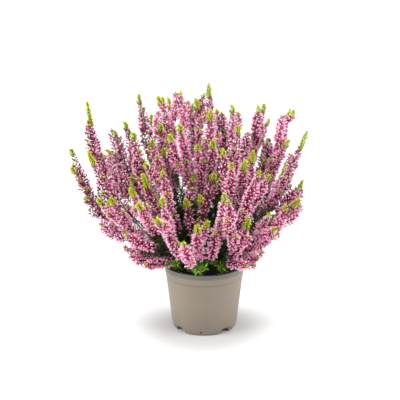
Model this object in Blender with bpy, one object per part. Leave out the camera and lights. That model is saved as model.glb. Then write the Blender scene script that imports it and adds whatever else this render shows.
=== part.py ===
"""Bud heather in a round 11 cm nursery pot: pot, peat, woody branches, basal shoots and flower sprays.

The plant grows by rule. Each spray is a curve from a woody branch to its tip. All curves are bent
clear of each other, and florets and leaves are raised from slim stems by one formula.
Sizes are in millimetres until a mesh is made. X runs right, Y away from the viewer, Z up, and the
origin is the centre of the pot's base.
"""

import math
from collections import namedtuple

import bmesh
import bpy
import numpy as np
from mathutils import Vector

MM = 0.001

# Pot
POT_HEIGHT = 90.0
RIM_RADIUS = 55.0
LIP_HEIGHT = 6.0
LIP_OVERHANG = 1.3
WALL = 1.6
WALL_FOOT_RADIUS = 44.3
WALL_SLOPE = 0.115
FLOOR_THICKNESS = 1.8
FLOOR_RADIUS = 34.0
FOOT_RADIUS = 41.6
FOOT_TOP = 8.4
NOTCH_HEIGHT = 6.8
NOTCH_COUNT = 4
NOTCH_WIDTH = math.radians(26)
NOTCH_ANGLE = math.radians(-50)
GROOVE_HEIGHT = 75.0
POT_SIDES = 40
DRAIN_COUNT = 6
DRAIN_ANGLE = math.radians(-66)
DRAIN_RADIUS = 1.3
DRAIN_HEIGHT = 4.9
DRAIN_DEPTH = 9.0

# Peat
GAP = 0.35
SOIL_TOP = 82.0
SOIL_BUMP = 1.3
SOIL_SIDES = 20
SOIL_SHOULDER = 11.5

# Woody branches
BRANCH_COUNT = 8
BRANCH_RING_RADIUS = 19.0
BRANCH_ROOT = 66.0
BRANCH_FOOT_RADIUS = 3.6
BRANCH_TOP_RADIUS = 2.2
BRANCH_LEAN = 12.0
BRANCH_TOP = 112.0
HOLE_CLEARANCE = 0.4

# Sprays
CORE_RADIUS = 2.8
FLORET_REACH = 7.8
FLORET_PITCH = 10.0
FLORET_LIFT = 0.7
TIP_REACH = 5.0
STEM_RADIUS = 1.3
STEM_ROOM = 3.6
LEAF_REACH = 6.5
LEAF_PITCH = 11.0
LEAF_LIFT = 0.8
BARE_PITCH = 20.0
BARE_SHARE = 0.25
SHORTEST_STEM = 12.0
JOINT_GAP = 0.35
TWIST = math.radians(22)
STEP = 9.0
LOOK_AROUND = 8
CLEARANCE = 1.2
BACK_SPRAYS = 11
BACK_SEED = 3
BACK_NEAR = 46.0
BACK_FAR = 132.0

Spray = namedtuple("Spray", "tip bow flowers green sides")
Side = namedtuple("Side", "tip length")

# Sprays that face the viewer: tip, outward bow, flowering length, green tip length, side spikes
FRONT_SPRAYS = [
    Spray((-175, -10, 250), 0.90, 130, 10, [Side((-172, -28, 229), 45)]),
    Spray((-155, 10, 309), 0.95, 140, 33, [Side((-150, 30, 245), 60)]),
    Spray((-148, -45, 253), 0.70, 115, 19, []),
    Spray((-124, 50, 264), 0.55, 105, 9, [Side((-137, 62, 235), 50)]),
    Spray((-103, -15, 287), 0.50, 105, 10, [Side((-91, -32, 276), 75)]),
    Spray((-92, 75, 311), 0.50, 120, 14, [Side((-74, 62, 284), 70)]),
    Spray((-120, -60, 197), 0.85, 85, 12, [Side((-138, -45, 192), 55)]),
    Spray((-113, -50, 167), 1.00, 95, 17, []),
    Spray((-92, -75, 213), 0.60, 80, 14, [Side((-82, -92, 198), 60)]),
    Spray((-78, -58, 227), 0.55, 85, 20, []),
    Spray((-52, -100, 207), 0.90, 112, 12, [Side((-58, -112, 184), 50)]),
    Spray((-53, -60, 232), 0.45, 95, 8, []),
    Spray((-26, -108, 152), 0.95, 56, 7, []),
    Spray((-9, -105, 174), 0.90, 76, 13, [Side((4, -96, 176), 40)]),
    Spray((-24, -50, 192), 0.30, 55, 12, [Side((-17, -20, 219), 50)]),
    Spray((-4, -52, 197), 0.30, 55, 10, [Side((13, -50, 226), 62)]),
    Spray((25, -100, 212), 0.85, 98, 10, []),
    Spray((14, -92, 160), 0.85, 50, 3, []),
    Spray((55, -95, 181), 0.92, 85, 20, []),
    Spray((83, -65, 178), 0.90, 88, 8, [Side((90, -80, 163), 48)]),
    Spray((131, -10, 208), 0.60, 100, 22, [Side((123, -42, 190), 60)]),
    Spray((133, -20, 276), 0.45, 115, 26, [Side((110, -4, 226), 60)]),
    Spray((116, 38, 295), 0.35, 120, 15, [Side((112, 5, 260), 85)]),
    Spray((83, 60, 299), 0.30, 110, 11, [Side((91, 72, 277), 80)]),
    Spray((62, -50, 255), 0.30, 90, 16, [Side((51, -60, 245), 65)]),
    Spray((69, -72, 234), 0.40, 95, 8, [Side((82, -58, 226), 70)]),
    Spray((34, -65, 243), 0.25, 90, 9, [Side((24, -44, 256), 70)]),
    Spray((45, -12, 281), 0.15, 95, 11, [Side((38, 34, 301), 105)]),
    Spray((28, 55, 284), 0.10, 90, 6, [Side((17, 70, 292), 85)]),
    Spray((8, -22, 303), 0.10, 95, 14, [Side((11, -40, 267), 60)]),
    Spray((6, 22, 332), 0.10, 120, 18, [Side((-11, 24, 312), 95)]),
    Spray((-32, 25, 322), 0.15, 120, 8, [Side((-16, 38, 303), 85)]),
    Spray((-58, 55, 310), 0.25, 105, 19, [Side((-50, 78, 306), 95)]),
    Spray((-32, -30, 286), 0.20, 90, 10, [Side((-44, -44, 275), 75)]),
    Spray((-68, -28, 265), 0.35, 90, 8, [Side((-76, -45, 239), 60)]),
    Spray((-9, -25, 258), 0.10, 75, 9, []),
]

# Fresh basal shoots at the rim: root on the peat, tip
FRESH_SHOOTS = [
    ((-33.0, -25.0), (-50.0, -42.0, 101.0)),
    ((-7.0, -44.0), (-10.0, -60.0, 99.0)),
    ((24.0, -36.0), (20.0, -47.0, 104.0)),
]
FRESH_REACH = 6.5
FRESH_PITCH = 5.0
FRESH_STEM = 1.1
FRESH_ROOT = 9.0
FRESH_ARCH = 36.0

# Finishes: base colour, roughness
FINISHES = {
    "taupe_plastic": ((0.36, 0.31, 0.25), 0.55),
    "black_peat": ((0.02, 0.016, 0.012), 0.95),
    "woody_stem": ((0.16, 0.09, 0.05), 0.85),
    "heather_leaf": ((0.05, 0.13, 0.02), 0.70),
    "heather_floret": ((0.72, 0.11, 0.36), 0.60),
    "fresh_leaf": ((0.50, 0.56, 0.05), 0.60),
}


def finish(name):
    """The material of one finish, made once."""
    if name in bpy.data.materials:
        return bpy.data.materials[name]
    colour, roughness = FINISHES[name]
    material = bpy.data.materials.new(name)
    material.use_nodes = True
    shader = material.node_tree.nodes["Principled BSDF"]
    shader.inputs["Base Color"].default_value = (*colour, 1.0)
    shader.inputs["Roughness"].default_value = roughness
    shader.inputs["Metallic"].default_value = 0.0
    material.diffuse_color = (*colour, 1.0)
    return material


def clear_scene():
    for old in list(bpy.data.objects):
        bpy.data.objects.remove(old, do_unlink=True)


def make_object(name, bm, finishes, smooth=False):
    """Scales a bmesh in millimetres to metres and links it as an object."""
    bmesh.ops.scale(bm, vec=(MM, MM, MM), verts=bm.verts)
    mesh = bpy.data.meshes.new(name)
    bm.to_mesh(mesh)
    bm.free()
    for item in finishes:
        mesh.materials.append(finish(item))
    if smooth:
        mesh.shade_smooth()
        mesh.set_sharp_from_angle(angle=math.radians(35))
    obj = bpy.data.objects.new(name, mesh)
    bpy.context.scene.collection.objects.link(obj)
    return obj


def apply_boolean(obj, others, operation):
    """Joins to, or cuts from, an object every object of a list, then removes the list."""
    helpers = bpy.data.collections.new(obj.name + "_helpers")
    bpy.context.scene.collection.children.link(helpers)
    for other in others:
        bpy.context.scene.collection.objects.unlink(other)
        helpers.objects.link(other)
    modifier = obj.modifiers.new("join", "BOOLEAN")
    modifier.operation = operation
    modifier.solver = "EXACT"
    modifier.operand_type = "COLLECTION"
    modifier.collection = helpers
    graph = bpy.context.evaluated_depsgraph_get()
    graph.update()
    joined = bpy.data.meshes.new_from_object(obj.evaluated_get(graph), depsgraph=graph)
    obj.modifiers.remove(modifier)
    obj.data = joined
    for other in others:
        bpy.data.objects.remove(other, do_unlink=True)
    bpy.data.collections.remove(helpers)


# Turned pieces


def extruded(bm, ring):
    """Extrudes the edges of a closed ring and gives the new ring in the same order."""
    edges = [bm.edges.get((a, b)) for a, b in zip(ring, ring[1:] + ring[:1])]
    raised = bmesh.ops.extrude_edge_only(bm, edges=edges)["geom"]
    new = {v for v in raised if isinstance(v, bmesh.types.BMVert)}
    return [next(e.other_vert(v) for e in v.link_edges if e.other_vert(v) in new) for v in ring]


def turned(rings, sides, start_angle=0.0):
    """A closed bmesh from rings that give (radius, height) at an angle, each end closed to a pole."""
    bm = bmesh.new()
    angles = [start_angle + 2 * math.pi * j / sides for j in range(sides)]

    def places(ring):
        sizes = [ring(a) for a in angles]
        return [(r * math.sin(a), -r * math.cos(a), z) for a, (r, z) in zip(angles, sizes)]

    made = bmesh.ops.create_circle(bm, segments=sides, radius=1.0)
    current = made["verts"]
    for vert, place in zip(current, places(rings[0])):
        vert.co = place
    first = current
    for ring in rings[1:]:
        current = extruded(bm, current)
        for vert, place in zip(current, places(ring)):
            vert.co = place
    split_alike(bm)
    for loop in (first, current):
        pole = bmesh.ops.create_vert(bm, co=(0, 0, sum(v.co.z for v in loop) / sides))["vert"][0]
        for j in range(sides):
            bm.faces.new((loop[j], loop[(j + 1) % sides], pole))
    bmesh.ops.recalc_face_normals(bm, faces=bm.faces)
    return bm


def split_alike(bm):
    """Splits each four-sided face from its inner corner on the left to its outer corner on the right.

    The two sides of a thin wall are then split alike and can't cross.
    """
    for face in [f for f in bm.faces if len(f.verts) == 4]:
        middle = face.calc_center_median()
        right = {v for v in face.verts if v.co.y * middle.x > v.co.x * middle.y}
        left = [v for v in face.verts if v not in right]
        if len(right) != 2:
            continue
        inner = min(left, key=lambda v: (v.co.xy.length, v.co.z))
        outer = max(right, key=lambda v: (v.co.xy.length, v.co.z))
        bmesh.utils.face_split(face, inner, outer)


def notch_share(angle):
    """1 in the middle of a foot notch, 0 on a foot."""
    period = 2 * math.pi / NOTCH_COUNT
    away = abs((angle - NOTCH_ANGLE + period / 2) % period - period / 2)
    return min(1.0, max(0.0, (NOTCH_WIDTH / 2 - away) / (NOTCH_WIDTH / 4)))


def notched(foot, notch):
    """A ring that is at one (radius, height) on a foot and at another in a notch."""

    def ring(angle):
        share = notch_share(angle)
        return tuple(a + (b - a) * share for a, b in zip(foot, notch))

    return ring


def plain(radius, height):
    return lambda angle: (radius, height)


def wall_radius(height):
    return WALL_FOOT_RADIUS + WALL_SLOPE * height


def rod(radius, length):
    """An upright eight-sided rod about the origin, with which a hole is cut."""
    bm = bmesh.new()
    bmesh.ops.create_cone(bm, cap_ends=True, segments=8, radius1=radius, radius2=radius, depth=length)
    return bm


def make_pot():
    """Thin tapered pot with a lip, a groove under it, a notched foot and drain holes."""
    lip_low = POT_HEIGHT - LIP_HEIGHT
    outside = [
        plain(FLOOR_RADIUS, 0.0),
        notched((FOOT_RADIUS, 0.0), (FLOOR_RADIUS + 1.6, NOTCH_HEIGHT - 0.7)),
        notched((FOOT_RADIUS + 1.6, 1.3), (FOOT_RADIUS + 1.9, NOTCH_HEIGHT)),
        plain(wall_radius(FOOT_TOP), FOOT_TOP),
        plain(wall_radius(GROOVE_HEIGHT - 1.0), GROOVE_HEIGHT - 1.0),
        plain(wall_radius(GROOVE_HEIGHT) + 0.6, GROOVE_HEIGHT),
        plain(wall_radius(lip_low) + 0.6, lip_low),
        plain(RIM_RADIUS - 0.5, lip_low + 0.6),
        plain(RIM_RADIUS, POT_HEIGHT - 1.0),
        plain(RIM_RADIUS - 0.7, POT_HEIGHT),
    ]
    inside = [
        plain(RIM_RADIUS - LIP_OVERHANG - WALL, POT_HEIGHT),
        plain(wall_radius(lip_low) - WALL, lip_low),
        plain(wall_radius(FOOT_TOP + 2.4) - WALL, FOOT_TOP + 2.4),
        notched((FOOT_RADIUS - 0.2, 3.2), (FOOT_RADIUS - 0.2, NOTCH_HEIGHT + 2.2)),
        notched((FOOT_RADIUS - 1.4, FLOOR_THICKNESS), (FLOOR_RADIUS - 0.3, NOTCH_HEIGHT + 1.2)),
        plain(FLOOR_RADIUS - 1.2, FLOOR_THICKNESS),
    ]
    shell = turned(outside + inside, POT_SIDES, NOTCH_ANGLE)
    pot = make_object("pot", shell, ["taupe_plastic"], smooth=True)
    drills = []
    for k in range(DRAIN_COUNT):
        angle = DRAIN_ANGLE + 2 * math.pi * k / DRAIN_COUNT
        way = Vector((math.sin(angle), -math.cos(angle), 0.0))
        bm = rod(DRAIN_RADIUS, DRAIN_DEPTH)
        bmesh.ops.rotate(bm, verts=bm.verts, matrix=rotation_to(way))
        centre = way * (FOOT_RADIUS + WALL) + Vector((0, 0, DRAIN_HEIGHT))
        bmesh.ops.translate(bm, verts=bm.verts, vec=centre)
        drills.append(make_object(f"drill_{k}", bm, []))
    apply_boolean(pot, drills, "DIFFERENCE")
    return pot


def soil_bump(radius, angle):
    """Height of the crumbly top over its mean level."""
    waves = math.sin(3.1 * angle + 0.16 * radius) + math.sin(5.3 * angle - 0.29 * radius + 1.2)
    return 0.5 * SOIL_BUMP * waves * min(1.0, radius / 12.0)


def make_soil(stems):
    """Peat that fills the pot, with a plain hole for each stem that stands in it."""
    inner = -WALL - GAP
    top_edge = wall_radius(SOIL_TOP) + inner - 0.2
    rings = [
        plain(FLOOR_RADIUS - 3.0, FLOOR_THICKNESS + GAP),
        plain(FLOOR_RADIUS - 2.0, SOIL_SHOULDER),
        plain(wall_radius(SOIL_SHOULDER) + inner - 0.2, SOIL_SHOULDER + 0.4),
        plain(top_edge, SOIL_TOP - 1.5),
    ]
    for share in (0.9, 0.7, 0.5, 0.3, 0.12):
        radius = top_edge * share
        rings.append(lambda angle, radius=radius: (radius, SOIL_TOP + soil_bump(radius, angle)))
    soil = make_object("soil", turned(rings, SOIL_SIDES), ["black_peat"], smooth=True)
    drills = []
    for k, (x, y, radius, depth) in enumerate(stems):
        bm = rod(radius + HOLE_CLEARANCE, 2 * depth)
        bmesh.ops.translate(bm, verts=bm.verts, vec=(x, y, SOIL_TOP))
        drills.append(make_object(f"stem_hole_{k}", bm, []))
    apply_boolean(soil, drills, "DIFFERENCE")
    return soil


# Growth


def unit(vector):
    vector = np.asarray(vector, float)
    return vector / max(1e-9, float(np.linalg.norm(vector)))


def rotation_to(direction):
    """The rotation that turns +Z to a direction."""
    return Vector((0, 0, 1)).rotation_difference(Vector(direction)).to_matrix()


def resample(points, count):
    """Points at equal distances along a smooth curve through the given ones."""
    points = np.asarray(points, float)
    padded = np.vstack([2 * points[0] - points[1], points, 2 * points[-1] - points[-2]])
    fine = []
    for a, b, c, d in zip(padded, padded[1:], padded[2:], padded[3:]):
        for t in np.arange(0, 1, 0.125):
            square = (2 * a - 5 * b + 4 * c - d) * t**2
            cube = (3 * b - a - 3 * c + d) * t**3
            fine.append(0.5 * (2 * b + (c - a) * t + square + cube))
    fine = np.array(fine + [points[-1]])
    along = np.concatenate([[0], np.cumsum(np.linalg.norm(np.diff(fine, axis=0), axis=1))])
    wanted = np.linspace(0, along[-1], count)
    return np.column_stack([np.interp(wanted, along, fine[:, i]) for i in range(3)])


def length_of(points):
    return float(np.linalg.norm(np.diff(points, axis=0), axis=1).sum())


def bowed(start, tip, bow, count=24):
    """A curve that runs out first and then up: straight at bow 0, strongly bowed at 1."""
    start = np.asarray(start, float)
    tip = np.asarray(tip, float)
    out = 0.5 + 0.44 * bow
    rise = 0.5 - 0.36 * bow
    middle = start + (tip - start) * np.array([out, out, rise])
    t = np.linspace(0, 1, count)[:, None]
    return (1 - t) ** 2 * start + 2 * t * (1 - t) * middle + t**2 * tip


def back_sprays():
    """Sprays on the far side, spread by the golden angle over a dome."""
    draw = np.random.default_rng(BACK_SEED)
    sprays = []
    for k in range(BACK_SPRAYS):
        spread = (k * 0.618034) % 1.0
        azimuth = math.radians(-98 + 196 * spread)
        reach = BACK_NEAR + (BACK_FAR - BACK_NEAR) * math.sqrt((k + 0.5) / BACK_SPRAYS)
        height = 165 + 128 * math.sqrt(max(0.0, 1 - (reach / 148) ** 2)) - draw.uniform(0, 14)
        tip = (reach * 0.92 * math.sin(azimuth), 22 + 0.86 * reach * math.cos(azimuth), height)
        sides = []
        for turn in (-1, 1):
            shift = azimuth + turn * math.radians(draw.uniform(18, 25)) * 75 / reach
            near = reach * draw.uniform(0.80, 1.10)
            low = height - draw.uniform(14, 40)
            sides.append(Side((near * 0.92 * math.sin(shift), 22 + 0.86 * near * math.cos(shift), low), 62))
        sprays.append(Spray(tip, 0.15 + 0.6 * reach / 134, 95, draw.uniform(8, 22), sides))
    return sprays


def branch_of(tip):
    """Which branch carries a spray: 0 in the middle, the others round it."""
    if math.hypot(tip[0], tip[1]) < 46:
        return 0
    turn = math.atan2(tip[0], -tip[1]) / (2 * math.pi)
    return 1 + int(round(turn * (BRANCH_COUNT - 1))) % (BRANCH_COUNT - 1)


def branch_path(index):
    """The middle line of a woody branch, straight in the peat and leaning out above it."""
    if index == 0:
        root, lean = np.zeros(2), np.zeros(2)
    else:
        angle = 2 * math.pi * (index - 1) / (BRANCH_COUNT - 1)
        way = np.array([math.sin(angle), -math.cos(angle)])
        root, lean = BRANCH_RING_RADIUS * way, BRANCH_LEAN * way
    heights = [BRANCH_ROOT, SOIL_TOP - 2, SOIL_TOP + 3, SOIL_TOP + 14, BRANCH_TOP]
    shares = [0, 0, 0.04, 0.4, 1]
    return np.array([[*(root + lean * s), z] for s, z in zip(shares, heights)])


Curve = namedtuple("Curve", "node branch kind points fork")


def lay_out(sprays):
    """The curves of all sprays before they are bent clear, each main followed by its side spikes."""
    members = {}
    for k, spray in enumerate(sprays):
        members.setdefault(branch_of(spray.tip), []).append(k)
    starts = {}
    for branch, group in members.items():
        path = resample(branch_path(branch), 41)
        group.sort(key=lambda k: sprays[k].tip[2] - 0.5 * math.hypot(*sprays[k].tip[:2]))
        for rank, k in enumerate(group):
            share = 0.5 + 0.47 * rank / max(1, len(group) - 1)
            starts[k] = path[int(round(40 * share))]
    curves = []
    for k, spray in enumerate(sprays):
        main = bowed(starts[k], spray.tip, spray.bow, 60)
        branch = branch_of(spray.tip)
        curves.append(Curve(k, branch, "main", resample(main, max(6, int(length_of(main) / STEP))), None))
        for side in spray.sides:
            tip = np.asarray(side.tip, float)
            away = np.linalg.norm(main - tip, axis=1)
            nearest = min(int(np.argmin(away)), len(main) - 2)
            fork = next((i for i in range(nearest, 2, -1) if away[i] > side.length), 3)
            lead = unit(main[fork + 1] - main[fork])
            rise = unit(unit(main[-1] - main[-8]) + unit(tip - main[fork]))
            reach = float(away[fork])
            t = np.linspace(0, 1, 24)[:, None]
            bend_low = main[fork] + (0.35 * lead + 0.65 * unit(tip - main[fork])) * reach * 0.33
            bend_high = tip - rise * reach * 0.38
            path = (1 - t) ** 3 * main[fork] + 3 * t * (1 - t) ** 2 * bend_low
            path = path + 3 * t**2 * (1 - t) * bend_high + t**3 * tip
            path = resample(path, max(5, int(length_of(path) / STEP)))
            curves.append(Curve(k, branch, "side", path, fork / (len(main) - 1)))
    for k, (root, tip) in enumerate(FRESH_SHOOTS):
        curves.append(Curve(len(sprays) + k, BRANCH_COUNT + k, "fresh", fresh_path(root, tip), None))
    return curves


def fresh_path(root, tip):
    """A short shoot: straight in the peat, then leaning over to its tip."""
    root_end = np.array([*root, SOIL_TOP - FRESH_ROOT])
    neck = np.array([*root, SOIL_TOP + 3.0])
    share = 0.4
    bend = neck + (np.array(tip) - neck) * share + [0, 0, FRESH_ARCH * share * (1 - share)]
    return np.vstack([root_end, 0.5 * (root_end + neck), neck, bend, tip])


def distance_left(curve):
    """The distance from each point of a curve to its tip."""
    steps = np.linalg.norm(np.diff(curve.points, axis=0), axis=1)
    return steps.sum() - np.concatenate([[0], np.cumsum(steps)])


def is_stem(curve, sprays):
    """Which points of a curve belong to a leafy stem, and not to flowers."""
    if curve.kind == "fresh":
        return np.ones(len(curve.points), bool)
    return (distance_left(curve) >= sprays[curve.node].flowers) & (curve.kind == "main")


def reach_along(curve, sprays):
    """How far florets or leaves stand out at each point of a curve."""
    left = distance_left(curve)
    reach = np.where(is_stem(curve, sprays), STEM_ROOM, FLORET_REACH)
    if curve.kind == "fresh":
        return reach
    reach = np.where(left < sprays[curve.node].green, TIP_REACH, reach)
    return np.where(left < 3, 2.5, reach)


def bend_clear(curves, sprays, rounds=160):
    """Pushes curves of different sprays apart and up from the pot, and keeps each one smooth."""
    counts = [len(c.points) for c in curves]
    starts = np.concatenate([[0], np.cumsum(counts)])
    place = np.vstack([c.points for c in curves])
    reach = np.concatenate([reach_along(c, sprays) for c in curves])
    owner = np.concatenate([np.full(n, c.node) for n, c in zip(counts, curves)])
    line = np.concatenate([np.full(n, i) for i, n in enumerate(counts)])
    order = np.concatenate([np.arange(n) for n in counts])
    fixed = np.concatenate([np.full(n, c.kind == "fresh") for n, c in zip(counts, curves)])
    free = np.where(fixed, 0.0, np.minimum(1.0, np.maximum(0.0, (order - 1) / 3.0)))
    branch = np.concatenate([np.full(n, c.branch) for n, c in zip(counts, curves)])
    stem = np.concatenate([is_stem(c, sprays) for c in curves])
    want = reach[:, None] + reach[None, :] + CLEARANCE
    same_line = line[:, None] == line[None, :]
    sister = (owner[:, None] == owner[None, :]) & ((order[:, None] < 3) | (order[None, :] < 3))
    fused = (branch[:, None] == branch[None, :]) & stem[:, None] & stem[None, :]
    want[same_line | sister | fused] = 0.0
    home = place.copy()
    for turn in range(rounds):
        if turn % LOOK_AROUND == 0:
            apart = np.linalg.norm(place[:, None, :] - place[None, :, :], axis=2)
            one, other = np.nonzero((want > 0) & (apart < want + 6.0))
        gap = place[one] - place[other]
        distance = np.linalg.norm(gap, axis=1) + 1e-6
        short = np.maximum(0.0, want[one, other] - distance)
        force = gap * (short / distance)[:, None]
        push = np.column_stack([np.bincount(one, force[:, i], len(place)) for i in range(3)])
        size = np.linalg.norm(push, axis=1, keepdims=True)
        push = push * np.minimum(1.0, 2.0 / (size + 1e-9))
        place = place + 0.45 * push * free[:, None] + 0.01 * (home - place) * free[:, None]
        place = keep_off_pot(place, reach, free)
        for a, b in zip(starts, starts[1:]):
            run = place[a:b]
            bend = run[:-2] + run[2:] - 2 * run[1:-1]
            run[1:-1] += 0.12 * bend * free[a + 1 : b - 1, None]
            even_out(run, free[a:b])
        follow_mains(curves, starts, place)
    return [c._replace(points=place[a:b].copy()) for c, a, b in zip(curves, starts, starts[1:])]


def even_out(run, free):
    """Evens out the distances along one curve, in place."""
    even = resample_linear(run, len(run))
    run += 0.3 * (even - run) * free[:, None]


def resample_linear(points, count):
    along = np.concatenate([[0], np.cumsum(np.linalg.norm(np.diff(points, axis=0), axis=1))])
    wanted = np.linspace(0, along[-1], count)
    return np.column_stack([np.interp(wanted, along, points[:, i]) for i in range(3)])


def keep_off_pot(place, reach, free):
    """Lifts points that are too low over the peat or the rim."""
    out = np.hypot(place[:, 0], place[:, 1])
    floor = np.where(out < 42, SOIL_TOP + 2.5, POT_HEIGHT + 1.5) + reach
    floor = np.where(out < RIM_RADIUS + 9, floor, 70.0)
    lift = np.maximum(0.0, floor - place[:, 2]) * (free > 0.3)
    place[:, 2] += 0.5 * lift
    return place


def follow_mains(curves, starts, place):
    """Keeps the first two points of each side spike with its main spike."""
    main = None
    for i, curve in enumerate(curves):
        if curve.kind != "side":
            main = place[starts[i] : starts[i + 1]]
            continue
        at = curve.fork * (len(main) - 1)
        low = min(int(at), len(main) - 2)
        shift = main[low] + (main[low + 1] - main[low]) * (at - low) - place[starts[i]]
        place[starts[i]] += shift
        place[starts[i] + 1] += shift


# Stems with florets or leaves


def frames(points):
    """Two cross directions at each point, carried along the curve without a sudden turn."""
    ahead = np.gradient(points, axis=0)
    ahead /= np.linalg.norm(ahead, axis=1, keepdims=True)
    side = unit(np.cross(ahead[0], (0.3, 1.0, 0.1)))
    sides = []
    for way in ahead:
        side = unit(side - way * np.dot(side, way))
        sides.append(side)
    sides = np.array(sides)
    return ahead, sides, np.cross(ahead, sides)


class Crowd:
    """All curves of the plant, asked how far a point may stand out before it meets a neighbour."""

    def __init__(self, curves, sprays):
        place, reach, owner, branch, stem = [], [], [], [], []
        for curve in curves:
            fine = curve._replace(points=resample(curve.points, 3 * len(curve.points)))
            rough = reach_along(curve, sprays)
            count = len(fine.points)
            place.append(fine.points)
            reach.append(np.interp(np.linspace(0, 1, count), np.linspace(0, 1, len(rough)), rough))
            owner.append(np.full(count, curve.node))
            branch.append(np.full(count, curve.branch))
            stem.append(is_stem(fine, sprays))
        self.place = np.vstack(place)
        self.reach = np.concatenate(reach)
        self.owner = np.concatenate(owner)
        self.branch = np.concatenate(branch)
        self.stem = np.concatenate(stem)

    def room(self, centre, way, wanted, reach, skip):
        """The largest distance, up to the wanted one, at which a point stays nearest its own curve."""
        near = ~skip & (np.linalg.norm(self.place - centre, axis=1) < 2.5 * FLORET_REACH)
        if not near.any():
            return wanted
        others, sizes = self.place[near], self.reach[near]
        out = wanted
        while out > 1.0:
            away = np.linalg.norm(others - (centre + way * out), axis=1)
            if ((away - 0.8) / sizes > out / reach).all():
                return out
            out *= 0.9
        return out


def leafy_tube(points, core, reach, pitch, sides, room, lift=FLORET_LIFT, turn=0.0, bare=0.0, green=0.0,
               bare_pitch=BARE_PITCH, flat_end=False):
    """A slim stem from whose sides every second corner is raised as a pointed leaf or floret.

    bare is the length without leaves at the foot, and green the length of the leafy tip, which takes
    the second finish. A flat end stands under a spray, and any other end comes to a point.
    """
    total = length_of(points)
    leafy = max(2, int(round((total - bare) / pitch)))
    step = (total - bare) / leafy
    at = [bare + step * k for k in range(leafy + 1)]
    naked = int(math.ceil(bare / bare_pitch))
    at = [bare * k / naked for k in range(naked)] + at
    count = len(at)
    fine = resample(points, 400)
    line = np.column_stack([np.interp(at, np.linspace(0, total, 400), fine[:, i]) for i in range(3)])
    ahead, across, over = frames(line)
    bm = bmesh.new()
    current = bmesh.ops.create_circle(bm, segments=sides, radius=1.0, cap_ends=True)["verts"]
    rings = []
    for k in range(count if flat_end else count - 1):
        left = total - at[k]
        in_tip = left <= green + 0.5 * step
        slim = core * (0.75 if in_tip and not flat_end else 1.0)
        if k:
            current = extruded(bm, current)
        for j, vert in enumerate(current):
            angle = turn + 2 * math.pi * j / sides + k * TWIST
            way = math.cos(angle) * across[k] + math.sin(angle) * over[k]
            stands_out = (j + k) % 2 == 0 and k and at[k] > bare - 0.1 and k < count - 1
            if stands_out:
                far = TIP_REACH if in_tip and not flat_end else reach
                far *= 0.9 + 0.1 * math.sin(7 * j + 3 * k + 5 * turn)
                far = max(slim, room(line[k], way, far))
                vert.co = line[k] + way * far + ahead[k] * lift * step
            else:
                vert.co = line[k] + way * min(slim, room(line[k], way, slim))
        rings.append((current, in_tip))
    last = rings[-1][0]
    if flat_end:
        bm.faces.new(last).material_index = 1
    else:
        pole = bmesh.ops.create_vert(bm, co=line[-1])["vert"][0]
        for j in range(sides):
            face = bm.faces.new((last[j], last[(j + 1) % sides], pole))
            face.material_index = int(green > 0)
    split_to_low_corners(bm, rings, green > 0)
    bmesh.ops.recalc_face_normals(bm, faces=bm.faces)
    return bm


def split_to_low_corners(bm, rings, two_finishes):
    """Splits each side face along its two low corners, so that a raised corner tops a pyramid."""
    for k, ((low, _), (high, in_tip)) in enumerate(zip(rings, rings[1:])):
        sides = len(low)
        for j in range(sides):
            corners = [low[j], low[(j + 1) % sides], high[(j + 1) % sides], high[j]]
            face = bm.faces.get(corners)
            face.material_index = int(in_tip and two_finishes)
            pair = (corners[1], corners[3]) if (j + k) % 2 == 0 else (corners[0], corners[2])
            bmesh.utils.face_split(face, *pair)


def part_of(points, start, end):
    """The stretch of a curve between two distances from its root."""
    along = np.concatenate([[0], np.cumsum(np.linalg.norm(np.diff(points, axis=0), axis=1))])
    wanted = np.linspace(start, min(end, along[-1]), max(4, int((end - start) / 5)))
    return np.column_stack([np.interp(wanted, along, points[:, i]) for i in range(3)])


def make_spray(main, sides, crowd, sprays):
    """One flower spray: a main spike and its side spikes, fused where they fork."""
    number = main.node + 1
    spray = sprays[main.node]
    skip = crowd.owner == main.node
    total = length_of(main.points)
    start = max(JOINT_GAP, total - spray.flowers + JOINT_GAP)
    name = f"flower_spray_{number:02d}"
    finishes = ["heather_floret", "fresh_leaf"]

    def room(centre, way, wanted):
        return crowd.room(centre, way, wanted, FLORET_REACH, skip)

    path = part_of(resample(main.points, 80), start, total)
    bm = leafy_tube(path, CORE_RADIUS, FLORET_REACH, FLORET_PITCH, 6, room,
                    turn=0.7 * number, green=spray.green)
    body = make_object(name, bm, finishes)
    helpers = []
    for k, side in enumerate(sides):
        green = 0.6 * spray.green + 4
        bm = leafy_tube(side.points, CORE_RADIUS * 0.86, FLORET_REACH * 0.92, FLORET_PITCH, 6, room,
                        turn=0.7 * number + 1.9 + k, green=green)
        helpers.append(make_object(f"{name}_side_{k}", bm, finishes))
    if helpers:
        apply_boolean(body, helpers, "UNION")
    return body


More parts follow.
